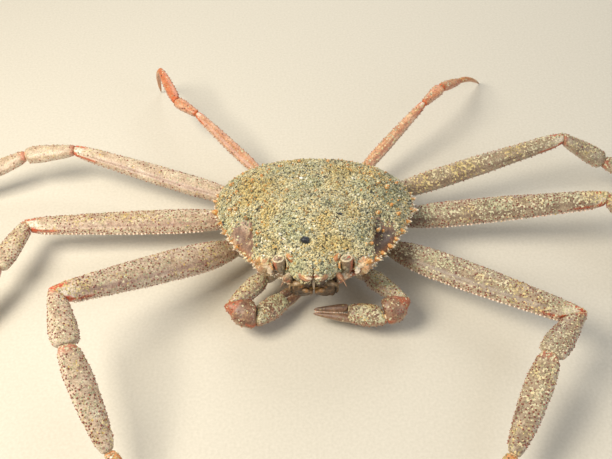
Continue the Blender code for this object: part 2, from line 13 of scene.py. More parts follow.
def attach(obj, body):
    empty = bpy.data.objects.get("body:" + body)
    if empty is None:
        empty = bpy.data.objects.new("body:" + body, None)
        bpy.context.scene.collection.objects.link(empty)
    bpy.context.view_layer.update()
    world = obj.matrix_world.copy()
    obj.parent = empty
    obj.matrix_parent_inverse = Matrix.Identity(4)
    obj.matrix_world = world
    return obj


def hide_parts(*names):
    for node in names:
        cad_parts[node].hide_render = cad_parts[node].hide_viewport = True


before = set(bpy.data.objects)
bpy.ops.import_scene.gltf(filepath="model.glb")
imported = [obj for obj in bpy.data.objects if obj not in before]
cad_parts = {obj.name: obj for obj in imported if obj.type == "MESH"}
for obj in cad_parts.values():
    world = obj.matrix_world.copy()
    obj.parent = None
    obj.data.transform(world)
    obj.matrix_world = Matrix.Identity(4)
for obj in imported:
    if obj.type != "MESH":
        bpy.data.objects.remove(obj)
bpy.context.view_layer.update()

# Carapace: one domed plate of chitin hardened with lime, drawn down into side walls and closed below.
# The top is a disc of points raised to the shell's height, the wall goes on from its rim in rings.
MM = 0.001
HALF_WIDTH, WIDEST_Y, REAR_Y, REAR_FULLNESS, REAR_STEPS = 40.0, 5.0, 37.0, 0.86, 15
FRONT_EDGE = [
    (0.0, -39.4), (0.9, -41.0), (2.2, -41.8), (4.0, -40.8), (6.4, -38.6), (9.4, -35.9),
    (12.0, -34.2), (15.4, -33.6), (18.2, -34.6), (20.4, -35.2), (21.8, -32.2), (24.2, -28.8),
    (27.4, -24.6), (30.4, -20.0), (33.2, -14.8), (35.8, -9.4), (38.4, -2.4), (HALF_WIDTH, WIDEST_Y),
]
SMOOTHING = 4
TEETH_FROM = 0.72
DOME, DOME_POWERS = 12.5, (2.6, 0.68)
WALL_DEPTH, WALL_INSET, REAR_WALL_RISE, FRONT_WALL_SINK = 12.5, 0.32, 3.0, 2.0
WALL_INSET_POWER, WALL_DEPTH_POWER = 1.4, 0.9
REGIONS = [
    (0.0, -13.0, 2.4, 11.0, 10.0), (0.0, 13.0, 1.8, 7.0, 8.0), (0.0, 1.5, -1.2, 8.0, 2.6),
    (23.0, 9.0, 2.4, 10.0, 14.0), (13.0, 2.0, -1.5, 3.4, 9.0), (26.8, -17.5, -5.6, 4.4, 6.2),
    (14.0, -24.0, 1.6, 7.0, 6.0), (0.0, 29.0, 0.8, 10.0, 5.0),
]
BODY_PITCH, BODY_YAW = math.radians(-11.5), math.radians(-1.6)
BODY_AT = np.array([0.0, -14.9, 24.2])
EYE_AT = np.array([12.4, -34.3, 1.5])
SOCKET_RADIUS, SOCKET_REACH = 3.2, 9.0
SOCKET_OPENING = np.array([0.30, -0.80, 0.52])
DISC_CELLS, WALL_RINGS, FLOOR_RINGS = 250, 20, 4
SIDES = {"r": np.array([-1.0, 1.0, 1.0]), "l": np.ones(3)}


def unit(vectors):
    """Vectors scaled to length one."""
    return vectors / np.maximum(np.linalg.norm(vectors, axis=-1, keepdims=True), 1e-12)


def on_body(points):
    """Points of the body's own axes turned by its pitch, then its yaw, and lifted to its place."""
    cp, sp = math.cos(BODY_PITCH), math.sin(BODY_PITCH)
    cy, sy = math.cos(BODY_YAW), math.sin(BODY_YAW)
    pitch = np.array([[1, 0, 0], [0, cp, -sp], [0, sp, cp]])
    yaw = np.array([[cy, -sy, 0], [sy, cy, 0], [0, 0, 1]])
    return points @ (yaw @ pitch).T + BODY_AT


def smooth_through(knots, values, at):
    """A cubic through the values whose slope at each knot is the harmonic mean of its spans' slopes.

    Where the slopes change sign the curve is level, so it never swings past a value.
    """
    knots, values = np.asarray(knots, float), np.asarray(values, float)
    step = np.diff(knots)
    rise = np.diff(values) / step
    product = rise[:-1] * rise[1:]
    total = np.where(product > 0, rise[:-1] + rise[1:], 1.0)
    slope = np.concatenate(([rise[0]], np.where(product > 0, 2 * product / total, 0.0), [rise[-1]]))
    i = np.clip(np.searchsorted(knots, at) - 1, 0, len(step) - 1)
    t, h = (at - knots[i]) / step[i], step[i]
    return ((1 + 2 * t) * (1 - t) ** 2 * values[i] + t * (1 - t) ** 2 * h * slope[i]
            + t * t * (3 - 2 * t) * values[i + 1] + t * t * (t - 1) * h * slope[i + 1])


def step_between(low, high, value):
    """0 below low, 1 above high and an S curve between."""
    t = np.clip((value - low) / (high - low), 0.0, 1.0)
    return t * t * (3 - 2 * t)


def bell(value, middle, width):
    """1 at the middle and 1/e a width away from it, along the curve of exp(-x * x)."""
    return np.exp(-((value - middle) / width) ** 2)


def random_of(cells, seed):
    """A repeatable number from 0 to 1 for each whole-number cell: the fraction of a large sine."""
    return np.modf(np.abs(np.sin(cells @ np.array([12.9898, 78.233, 37.719]) + seed) * 43758.5453))[0]


def smooth_noise(points, size, seed):
    """Values from -1 to 1 that change over the size: random corners of cells, blended by S curves."""
    place = points / size
    low = np.floor(place)
    part = place - low
    part = part * part * (3 - 2 * part)
    total = 0.0
    for corner in np.ndindex(2, 2, 2):
        weight = np.prod(np.where(np.array(corner) == 1, part, 1 - part), axis=-1)
        total = total + weight * random_of(low + np.array(corner), seed)
    return total * 2 - 1


def round_bumps(points, size, radius, seed, share=1.0):
    """Domes of that radius, 1 high: one at a random place in each cell, kept for a share of cells."""
    place = points / size
    low = np.floor(place)
    height = np.zeros(points.shape[:-1])
    for corner in np.ndindex(3, 3, 3):
        cell = low + np.array(corner) - 1
        spot = cell + 0.5 + 0.7 * (np.stack([random_of(cell, seed + k) for k in (1, 2, 3)], -1) - 0.5)
        wide = radius * (0.6 + 0.7 * random_of(cell, seed + 4))
        far = np.linalg.norm(place - spot, axis=-1) * size / wide
        dome = np.sqrt(np.clip(1 - far * far, 0.0, 1.0))
        height = np.maximum(height, np.where(random_of(cell, seed + 5) < share, dome, 0.0))
    return height


def edge_points(smoothed):
    """Half the carapace's edge, front to rear: given points, then an arc; averaged to lose its teeth.

    On the rear x and y follow the cosine and sine of the angle, each to the power REAR_FULLNESS.
    """
    angle = np.arange(1, REAR_STEPS + 1) * math.pi / 2 / REAR_STEPS
    rear = np.stack([HALF_WIDTH * np.maximum(np.cos(angle), 0.0) ** REAR_FULLNESS,
                     WIDEST_Y + (REAR_Y - WIDEST_Y) * np.sin(angle) ** REAR_FULLNESS], -1)
    half = np.concatenate([FRONT_EDGE, rear])
    if not smoothed:
        return half
    mirror = np.array([-1.0, 1.0])
    line = np.concatenate([half[SMOOTHING:0:-1] * mirror, half, half[-2:-2 - SMOOTHING:-1] * mirror])
    span = 2 * SMOOTHING + 1
    return np.stack([np.convolve(line[:, k], np.ones(span) / span, "valid") for k in (0, 1)], -1)


def edge_radius(turn, smoothed=False):
    """Distance from the body's middle to its edge, for a turn from 0 at the face to pi at the rear."""
    half = edge_points(smoothed)
    headings = np.arctan2(half[:, 0], -half[:, 1])
    headings[0], headings[-1] = 0.0, math.pi
    return smooth_through(headings, np.hypot(half[:, 0], half[:, 1]), np.abs(turn))


def region_height(x, y, reach):
    """The shell's main form: a dome, with round rises and hollows that fade out at the edge."""
    height = DOME * np.clip(1 - reach ** DOME_POWERS[0], 0.0, 1.0) ** DOME_POWERS[1]
    fade = 1 - reach ** 4
    for cx, cy, rise, wide, long in REGIONS:
        for side in ((1, -1) if cx else (1,)):
            height = height + fade * rise * bell(x, side * cx, wide) * bell(y, cy, long)
    return height


# The hollow beside the head: depth, y, half length and the inner wall's lean, then where it deepens
# and shallows again, as distances from the middle. The lean is counted from LEAN_Y.
HOLLOW_DEPTH, HOLLOW_Y, HOLLOW_HALF_LENGTH, HOLLOW_LEAN, LEAN_Y = 3.0, -20.5, 9.0, 0.08, -20.0
HOLLOW_INNER_WALL, HOLLOW_OUTER_WALL = (21.9, 23.9), (29.5, 34.0)


def beside_head(x, y):
    """1 in the steep hollow on each side of the head, 0 elsewhere."""
    inner = step_between(*HOLLOW_INNER_WALL, np.abs(x) - HOLLOW_LEAN * (y - LEAN_Y))
    outer = 1 - step_between(*HOLLOW_OUTER_WALL, np.abs(x))
    return inner * outer * np.exp(-np.abs((y - HOLLOW_Y) / HOLLOW_HALF_LENGTH) ** 4)


def groove(x, y, line, width):
    """1 along a line of points, falling off over the width to each side, the same on both sides."""
    near = np.full(np.shape(x), 99.0)
    for (ax, ay), (bx, by) in zip(line, line[1:]):
        length = (bx - ax) ** 2 + (by - ay) ** 2
        t = np.clip(((np.abs(x) - ax) * (bx - ax) + (y - ay) * (by - ay)) / length, 0.0, 1.0)
        near = np.minimum(near, np.hypot(np.abs(x) - ax - t * (bx - ax), y - ay - t * (by - ay)))
    return bell(near, 0.0, width)


# Depth, width and course of the groove across the shell and of the one beside the heart. Sand lies
# in heaps, given by their size across, seed and height.
GROOVES = [
    (0.75, 1.3, [(0.0, 2.4), (6.5, 1.0), (11.5, -3.6), (16.5, -8.0), (21.0, -9.6), (27.0, -9.0)]),
    (0.5, 1.1, [(7.2, 4.0), (6.6, 12.0), (8.4, 19.0), (5.0, 23.0), (0.0, 23.6)]),
]
SAND_HEAPS = [(6.5, 3, 0.26), (2.6, 9, 0.16)]


def shell_top(x, y, reach):
    """Height of the carapace: its main form with grooves, the hollows by the head and sand in heaps."""
    flat = np.stack([x, y, np.zeros_like(x)], -1)
    heaps = sum(high * smooth_noise(flat, size, seed) for size, seed, high in SAND_HEAPS)
    cuts = sum(depth * groove(x, y, line, width) for depth, width, line in GROOVES)
    fade = np.clip(1 - reach ** 6, 0.0, 1.0)
    return region_height(x, y, reach) + fade * (heaps - cuts - HOLLOW_DEPTH * beside_head(x, y))


def wall_depth(y):
    """Depth of the carapace's underside below its edge."""
    return (WALL_DEPTH - REAR_WALL_RISE * np.clip(y / REAR_Y, 0.0, None)
            + FRONT_WALL_SINK * np.clip(-y / REAR_Y, 0.0, None))


def open_sockets(points):
    """Pushes the shell back from both eyes: points in a tube round the eye go to its round bottom."""
    for mirror in SIDES.values():
        out = unit(SOCKET_OPENING * mirror)
        offset = points - EYE_AT * mirror
        along = offset @ out
        aside = np.linalg.norm(offset - along[:, None] * out, axis=-1)
        bottom = -np.sqrt(np.clip(SOCKET_RADIUS ** 2 - aside ** 2, 0.0, None))
        inside = (aside < SOCKET_RADIUS) & (along > bottom) & (along < SOCKET_REACH)
        points = np.where(inside[:, None], points + (bottom - along)[:, None] * out, points)
    return points


def grid_normals(points, closed=False):
    """Unit normals of a grid of points: the cross product of the steps along its two directions."""
    rows = np.gradient(points, axis=0)
    if closed:
        columns = np.roll(points, -1, axis=1) - np.roll(points, 1, axis=1)
    else:
        columns = np.gradient(points, axis=1)
    return unit(np.cross(rows, columns))


def grid_quads(rows, columns, closed=False):
    """Corner numbers of a grid's quads, row by row; a closed grid joins its last column to its first."""
    number = np.arange(rows * columns).reshape(rows, columns)
    after = np.roll(number, -1, axis=1) if closed else number[:, 1:]
    before = number if closed else number[:, :-1]
    quads = np.stack([before[:-1], before[1:], after[1:], after[:-1]], -1)
    return quads.reshape(-1, 4)


def add_piece(name, points, quads, triangles, look, slot, nodes=(), values=None, sharp=0):
    """Puts arrays in millimetres into a mesh: a piece that rides on the crab and may stand for nodes."""
    quads, triangles = np.reshape(quads, (-1, 4)), np.reshape(triangles, (-1, 3))
    corners = np.concatenate([quads.ravel(), triangles.ravel()]).astype(np.int32)
    starts = np.concatenate([np.arange(len(quads)) * 4,
                             len(quads) * 4 + np.arange(len(triangles)) * 3]).astype(np.int32)
    mesh = bpy.data.meshes.new(name)
    mesh.vertices.add(len(points))
    mesh.vertices.foreach_set("co", (np.asarray(points, float) * MM).astype(np.float32).ravel())
    mesh.loops.add(len(corners))
    mesh.loops.foreach_set("vertex_index", corners)
    mesh.polygons.add(len(starts))
    mesh.polygons.foreach_set("loop_start", starts)
    for key, amounts in (values or {}).items():
        attribute = mesh.attributes.new(key, "FLOAT", "POINT")
        attribute.data.foreach_set("value", np.asarray(amounts, np.float32).ravel())
    mesh.update(calc_edges=True)
    mesh.materials.append(look)
    mesh.shade_smooth()
    if sharp:
        mesh.set_sharp_from_angle(angle=math.radians(sharp))
    piece = bpy.data.objects.new(name, mesh)
    bpy.context.scene.collection.objects.link(piece)
    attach(piece, "root")
    if nodes:
        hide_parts(*nodes)
    return piece


def linear(code):
    """An sRGB hex colour as the linear colour that a shader takes."""
    share = [int(code[i:i + 2], 16) / 255 for i in (1, 3, 5)]
    return (*(((c + 0.055) / 1.055) ** 2.4 if c > 0.04045 else c / 12.92 for c in share), 1.0)


def feed(node, inputs):
    """Gives a node's inputs their values, or links them where the value is another node's output."""
    for key, value in inputs.items():
        if isinstance(value, bpy.types.NodeSocket):
            node.id_data.links.new(value, node.inputs[key])
        else:
            node.inputs[key].default_value = value


def add_node(tree, kind, inputs=None, stops=None, constant=False, **settings):
    """A shader node with its inputs and settings; stops are a colour ramp's places and hex colours."""
    made = tree.nodes.new("ShaderNode" + kind)
    for key, value in settings.items():
        setattr(made, key, value)
    feed(made, inputs or {})
    if stops:
        elements = made.color_ramp.elements
        while len(elements) < len(stops):
            elements.new(0.5)
        for element, (place, code) in zip(elements, stops):
            element.position = place
            element.color = linear(code)
        made.color_ramp.interpolation = "CONSTANT" if constant else "LINEAR"
    return made


def new_look(name):
    """A new material, its node tree, its shader, and the place on the object for textures."""
    made = bpy.data.materials.new(name)
    made.use_nodes = True
    tree = made.node_tree
    return made, tree, tree.nodes["Principled BSDF"], add_node(tree, "TexCoord").outputs["Object"]


def noise_colour(tree, place, scale, detail, stops, roughness=0.5):
    """Noise with that many cells in a metre, and the colours that a ramp gives it."""
    noise = add_node(tree, "TexNoise", {"Vector": place, "Scale": scale, "Detail": detail,
                                        "Roughness": roughness}).outputs["Fac"]
    return noise, add_node(tree, "ValToRGB", {"Fac": noise}, stops=stops).outputs["Color"]


def multiplied(tree, share, colour, other):
    """A colour multiplied by another, for a share of the way."""
    return add_node(tree, "Mix", {0: share, 6: colour, 7: other}, data_type="RGBA",
                    blend_type="MULTIPLY").outputs[2]


# Sand stuck to the shell, quartz and dark rock with shell bits: the share at which each colour starts.
SAND_TONES = [
    (0.00, "#45443A"), (0.065, "#807E68"), (0.21, "#AEAA8C"), (0.40, "#CCC5A0"), (0.64, "#DFD6AE"),
    (0.84, "#CDB273"), (0.93, "#9C7C4E"), (0.965, "#EEE9D8"),
]
DRIFT_TONES = [(0.36, "#E4EAE4"), (0.49, "#FFFFFF"), (0.61, "#FBEFD0"), (0.74, "#EDDAAE")]
# A cell of sand in metres, and cells of noise in a metre: the skin's blotches, its pores, and drifts.
GRAIN_CELL = 0.00062
BLOTCHES, PORES, DRIFTS = 210.0, 1500.0, 75.0


def shell_finish(name, hues, granule, warm, pale, dusk, gloss, tones=SAND_TONES):
    """Chitin with lime in it: a mottled wax-like skin under granules, then sand in single grains.

    The piece's own values say where granules, warm, pale and dark skin, painted shade and sand lie. Sand
    shows in each cell of a Voronoi pattern whose random number is under the piece's amount of sand.
    """
    made, tree, shader, place = new_look(name)
    _, skin = noise_colour(tree, place, BLOTCHES, 5.0, list(zip((0.30, 0.5, 0.70), hues)), 0.62)
    for key, colour, amount in (("dusk", dusk, 0.85), ("warm", warm, 0.92), ("pale", pale, 0.9),
                                ("granule", granule, 0.88)):
        here = add_node(tree, "Attribute", attribute_name=key).outputs["Fac"]
        share = add_node(tree, "Math", {0: here, 1: amount}, operation="MULTIPLY").outputs[0]
        skin = add_node(tree, "Mix", {0: share, 6: skin, 7: linear(colour)},
                        data_type="RGBA").outputs[2]
    pores, shade = noise_colour(tree, place, PORES, 3.0, [(0.34, "#A9A09A"), (0.58, "#FFFFFF")], 0.7)
    skin = multiplied(tree, 0.8, skin, shade)

    cells = add_node(tree, "TexVoronoi", {"Vector": place, "Scale": 1 / GRAIN_CELL}).outputs
    parts = add_node(tree, "SeparateColor", {"Color": cells["Color"]}).outputs
    grains = add_node(tree, "ValToRGB", {"Fac": parts[0]}, stops=tones, constant=True)
    _, drift = noise_colour(tree, place, DRIFTS, 3.0, DRIFT_TONES)
    grains = multiplied(tree, 1.0, grains.outputs["Color"], drift)
    amount = add_node(tree, "Attribute", attribute_name="sanded").outputs["Fac"]
    covered = add_node(tree, "Math", {0: parts[1], 1: amount}, operation="LESS_THAN").outputs[0]
    colour = add_node(tree, "Mix", {0: covered, 6: skin, 7: grains}, data_type="RGBA")
    rough = add_node(tree, "MapRange", {"Value": covered, "To Min": gloss, "To Max": 0.85})
    lump = add_node(tree, "Math", {0: cells["Distance"], 1: covered}, operation="MULTIPLY")
    grit = add_node(tree, "Bump", {"Height": lump.outputs[0], "Strength": 0.55,
                                   "Distance": 0.0004}, invert=True)
    relief = add_node(tree, "Bump", {"Height": pores, "Strength": 0.35, "Distance": 0.00012,
                                     "Normal": grit.outputs[0]})
    feed(shader, {"Base Color": colour.outputs[2], "Roughness": rough.outputs[0],
                  "Normal": relief.outputs[0], "IOR": 1.54, "Subsurface Weight": 0.06,
                  "Subsurface Radius": (0.9, 0.45, 0.3), "Subsurface Scale": 0.001})
    return made


# Mauve-brown under the sand, with dark red granules, amber corners and cream flecks round the face. Its
# darkest brown is painted shade in the hollows and over the mouth, and dark blots on the cheeks.
carapace_chitin = shell_finish(
    "carapace chitin", ("#8C6A58", "#A98670", "#C4A184"), "#8A3B24", "#C97A34", "#E4CFA6", "#36261A",
    0.5)


def tooth_share(reach):
    """How much of the edge's teeth shows: none up to TEETH_FROM of the way out, all at the edge."""
    return np.clip((reach - TEETH_FROM) / (1 - TEETH_FROM), 0.0, 1.0) ** 2


side = np.linspace(-1.0, 1.0, DISC_CELLS + 1)
p, q = np.meshgrid(side, side, indexing="ij")
disc_x, disc_y = p * np.sqrt(1 - q * q / 2), q * np.sqrt(1 - p * p / 2)
reach = np.minimum(np.hypot(disc_x, disc_y), 1.0)
turn = np.arctan2(disc_x, -disc_y)
toothed, plain = edge_radius(turn), edge_radius(turn, True)
radius = reach * (plain + (toothed - plain) * tooth_share(reach))
top_x, top_y = radius * np.sin(turn), -radius * np.cos(turn)
top = np.stack([top_x, top_y, shell_top(top_x, top_y, reach)], -1)

base = top_x.size
number = np.arange(base).reshape(top_x.shape)
rim = np.concatenate([number[:-1, 0], number[-1, :-1], number[:0:-1, -1], number[0, :0:-1]])
rim_turn, rim_toothed, rim_plain = (part.ravel()[rim] for part in (turn, toothed, plain))
rows = []
for sink in np.linspace(0.0, 1.0, WALL_RINGS + 1)[1:]:
    wide = rim_plain + (rim_toothed - rim_plain) * tooth_share(math.cos(sink * math.pi / 4))
    wide = wide * (1 - WALL_INSET * sink ** WALL_INSET_POWER)
    x, y = wide * np.sin(rim_turn), -wide * np.cos(rim_turn)
    rows.append(np.stack([x, y, -wall_depth(y) * sink ** WALL_DEPTH_POWER], -1))
for share in np.linspace(1.0, 0.0, FLOOR_RINGS + 1)[1:-1]:
    rows.append(rows[WALL_RINGS - 1] * np.array([share, share, 1.0]))
wall = np.concatenate(rows)
shell_points = np.concatenate([top.reshape(-1, 3), wall, [[0.0, 0.0, -WALL_DEPTH]]])
rings = [rim] + [base + k * len(rim) + np.arange(len(rim)) for k in range(len(rows))]
shell_quads = [grid_quads(*top_x.shape)]
for high, low in zip(rings, rings[1:]):
    shell_quads.append(np.stack([high, low, np.roll(low, -1), np.roll(high, -1)], -1))
hub = np.full(len(rim), len(shell_points) - 1)
shell_fan = np.stack([rings[-1], hub, np.roll(rings[-1], -1)], -1)

# Cell and radius of the bumps that granules and sand make in the shell, their lifts, and its inset.
SHELL_GRANULE, GRIT = (1.9, 0.42), (0.9, 0.36)
SHELL_GRANULE_LIFT, GRIT_LIFT, SHELL_INSET = 0.13, 0.10, 0.05

# How far each point is bare of sand: the hollows by the head, the face, the walls and the rear rim.
# The face starts 30 mm ahead of the middle. On each half of it the horn ends and the brow starts at
# 4.5 to 6 mm from the middle, the brow ends at 13 to 15 mm, and the corner lies at 18.6 mm.
x, y, z = shell_points.T
body_x = np.abs(x)
below = np.clip(-z / WALL_DEPTH, 0.0, 1.0)
below[:base] = 0.0
reach_all = np.concatenate([reach.ravel(), np.ones(len(wall) + 1)])
hollow = beside_head(x, y)
face = step_between(-30.0, -34.0, y)
horns = face * step_between(0.975, 0.995, reach_all) * step_between(6.0, 4.5, body_x) * (below < 0.02)
brow = face * step_between(4.5, 6.0, body_x) * step_between(15.0, 13.0, body_x)
corners = (bell(body_x, 18.6, 3.2) * step_between(-30.0, -31.8, y)
           * step_between(0.92, 0.96, reach_all) * step_between(0.4, 0.2, below))
bare = np.clip(hollow * 1.3 + horns + 0.9 * corners
               + step_between(0.03 + 0.09 * face, 0.2 + 0.1 * face, below)
               + 0.7 * step_between(0.985, 1.0, reach_all) * (1 - 0.9 * brow), 0.0, 1.0)
patches = smooth_noise(shell_points, 7.0, 21) * 0.5 + smooth_noise(shell_points, 2.2, 22) * 0.5
sanded = np.clip(1.05 - bare - 0.1 * step_between(0.25, 0.7, patches), 0.0, 1.0)
sanded = np.maximum(sanded, 0.04 * (1 - below))
granule = round_bumps(shell_points, *SHELL_GRANULE, 31, 0.55) * (sanded <= 0.6)
grit = round_bumps(shell_points, *GRIT, 41) * sanded
lift = SHELL_GRANULE_LIFT * granule + GRIT_LIFT * grit - SHELL_INSET
skin_normals = np.concatenate([grid_normals(top).reshape(-1, 3), unit(wall * np.array([1, 1, 0])),
                               [[0, 0, -1.0]]])
shell_points = open_sockets(shell_points + skin_normals * lift[:, None])

# Colours of the skin: blots and flecks on the cheeks beside the mouth, streaks in the hollows. The mouth
# field and the hollows are darkened as painted shade, the hollows most on the left half.
flecks = smooth_noise(shell_points, 1.1, 23)
blots = smooth_noise(shell_points, 2.4, 24)
streaks = smooth_noise(shell_points * np.array([1.0, 0.25, 0.25]), 0.8, 25)
painted_shade_half = shell_points[:, 0] > 0
under_face = step_between(-22.0, -28.0, shell_points[:, 1]) * step_between(0.0, 0.08, below)
mouth_field = under_face * step_between(9.5, 7.5, body_x)
cheeks = under_face * (1 - mouth_field)
rim_glow = 0.3 * step_between(0.96, 1.0, reach_all) * (1 - below) * (1 - face)
# Painted shade: the hollows by the head are darkened, most on the left half, where the pale streaks are
# fewer too, and the mouth field is darkened fully.
shell_values = {
    "sanded": sanded, "granule": granule * 0.7 * (1 - corners),
    "warm": np.clip(0.4 * horns + rim_glow + 0.75 * corners
                    + 0.75 * cheeks * step_between(0.05, 0.4, blots), 0, 1),
    "pale": np.clip(0.6 * step_between(0.1, 0.5, below) * (1 - mouth_field) + 0.4 * corners
                    + 0.6 * cheeks * step_between(-0.3, 0.3, flecks)
                    + 0.4 * hollow * (1 - 0.7 * painted_shade_half) * step_between(0.1, 0.7, streaks), 0, 1),
    "dusk": np.clip(hollow * (0.45 + 0.7 * painted_shade_half - 0.35 * streaks) + mouth_field
                    + 0.55 * cheeks * step_between(0.1, -0.35, blots + 0.5 * flecks), 0, 1),
}
add_piece("carapace_shell", on_body(shell_points), np.concatenate(shell_quads), shell_fan,
          carapace_chitin, "carapace_shell", ["carapace"], shell_values)

# Limbs: tubes of chitin in a chain, flat and broad in the legs, round in the claw arms. Each segment
# is a run of rounded oblongs from joint to joint, mitred there, with granules and rolled ends.
GAP_HALF = 0.15
TIP_HEIGHT = 0.1
LEG_ROOT = {1: (20.5, -18.0, 9.0), 2: (21.0, -7.5, 10.0), 3: (20.0, 2.0, 9.0), 4: (14.0, 11.0, 8.0)}
LEG_SEGMENTS = ("base", "merus", "carpus", "propodus", "dactylus")
LEG_SIZE = {
    1: ((12.0, 4.4, 3.6), (77.5, 6.0, 3.1), (21.0, 5.2, 2.9), (38.0, 5.0, 2.5), (33.0, 2.3, 1.7)),
    2: ((12.0, 4.2, 3.5), (86.0, 5.3, 3.0), (24.0, 4.7, 2.8), (42.0, 4.4, 2.4), (37.0, 2.1, 1.6)),
    3: ((12.5, 3.9, 3.2), (78.0, 4.4, 2.7), (22.0, 4.0, 2.6), (40.0, 3.7, 2.2), (35.0, 1.9, 1.5)),
    4: ((12.0, 3.0, 2.6), (45.5, 2.7, 2.0), (13.0, 2.6, 2.0), (25.0, 2.4, 1.8), (25.0, 1.5, 1.2)),
}
LEG_POSE = {
    (1, "r"): ((18, 14), (35, 20), (107, -7), (116, -28), 130),
    (2, "r"): ((-10, 9), (2, 2), (72, 3), (62, -13), 50),
    (3, "r"): ((-19, 15), (-20, 5), (2, -4), (22, -12), 30),
    (4, "r"): ((-52, 16), (-47, 12), (-40, 4), (-68, 1), -70),
    (1, "l"): ((30, 14), (35, 8), (129, 1), (118, -14), 132),
    (2, "l"): ((2, 9), (4, 10), (48, -10), (58, -18), 60),
    (3, "l"): ((-19, 15), (-10, 13), (10, -30), (22, -14), 34),
    (4, "l"): ((-54, 14), (-45, 17), (-47, 5), (-56, -26), -48),
}
LAST_LEG_FACE = (0.0, -0.3, 0.95)
ROOT_INSIDE = 2.0
DACTYLUS_BOW = 1.6
PROFILES = {
    "base": ((0.0, 0.86, 0.9), (0.35, 1.0, 1.0), (0.75, 0.98, 0.98), (1.0, 0.74, 0.84)),
    "merus": ((0.0, 0.54, 0.8), (0.05, 0.7, 0.92), (0.13, 0.88, 1.0), (0.27, 1.0, 1.0),
              (0.5, 0.96, 1.0), (0.74, 0.82, 0.95), (0.92, 0.7, 0.88), (1.0, 0.52, 0.74)),
    "carpus": ((0.0, 0.56, 0.8), (0.16, 0.7, 0.94), (0.42, 0.86, 1.0), (0.74, 1.0, 1.0),
               (0.92, 0.94, 0.92), (1.0, 0.66, 0.78)),
    "wrist": ((0.0, 0.5, 0.62), (0.12, 0.74, 0.82), (0.34, 0.96, 0.98), (0.6, 1.0, 1.0),
              (0.86, 0.84, 0.86), (1.0, 0.5, 0.62)),
    "propodus": ((0.0, 0.6, 0.86), (0.08, 0.82, 0.98), (0.3, 1.0, 1.0), (0.6, 0.92, 0.9),
                 (0.9, 0.66, 0.76), (1.0, 0.42, 0.66)),
    "dactylus": ((0.0, 0.84, 0.9), (0.1, 1.0, 1.0), (0.4, 0.82, 0.84), (0.7, 0.56, 0.6),
                 (0.9, 0.34, 0.36), (1.0, 0.17, 0.24)),
    "palm": ((0.0, 0.55, 0.64), (0.14, 0.82, 0.88), (0.5, 1.0, 1.0), (0.82, 0.9, 0.88),
             (1.0, 0.7, 0.66)),
    "finger": ((0.0, 0.9, 0.95), (0.25, 1.0, 1.0), (0.6, 0.74, 0.76), (0.88, 0.46, 0.5),
               (1.0, 0.2, 0.26)),
}
MESH_STEP = 0.42
CORNER_FULLNESS = 0.82
# The length and depth over which a segment's ends roll in, and how near its rings may come to the
# plane of a joint: a share of their distance, and at least so much.
LIP, LIP_DEPTH = 0.9, 0.42
ROOM_SHARE, LEAST_ROOM = 0.88, 0.05


def heading(side, forward, rise):
    """Unit vector from the angle towards the face and the rise, on one side of the crab."""
    forward, rise = math.radians(forward), math.radians(rise)
    return SIDES[side] * (math.cos(forward) * math.cos(rise), -math.sin(forward) * math.cos(rise),
                          math.sin(rise))


def leg_joints(leg, side):
    """The six joint places of a leg; its last segment falls just far enough to stand on its tip."""
    points = [LEG_ROOT[leg] * SIDES[side]]
    pose = LEG_POSE[(leg, side)]
    for (length, _, _), (forward, rise) in zip(LEG_SIZE[leg], pose[:4]):
        points.append(points[-1] + heading(side, forward, rise) * length)
    last = LEG_SIZE[leg][4][0]
    fall = math.degrees(math.asin((points[-1][2] - TIP_HEIGHT) / last))
    points.append(points[-1] + heading(side, pose[4], -fall) * last)
    return points


def fit_joint(x, y, z, plane, joint, reach):
    """Keeps a ring on its own side of a joint's plane: its inner side narrows, then slides onto it."""
    away = np.abs(x - joint)
    room = np.abs(plane[0]) * np.maximum(away, (reach + away) / 2) * ROOM_SHARE - GAP_HALF
    room = np.maximum(room, LEAST_ROOM)
    sideways = y * plane[1] + z * plane[2]
    share = np.where(-sideways > room, room / np.maximum(-sideways, 1e-9), 1.0)
    y, z, sideways = y * share, z * share, sideways * share
    near = np.clip(1 - away / reach, 0.0, 1.0)
    return x + near * (GAP_HALF - sideways) / plane[0], y, z


def rounded(share, fullness):
    """A sine or cosine to the power of the fullness, with its sign kept, as on a superellipse."""
    return np.sign(share) * np.abs(share) ** fullness


def full_turn(count):
    """That many angles, evenly spaced round a full turn."""
    return np.arange(count) * 2 * math.pi / count


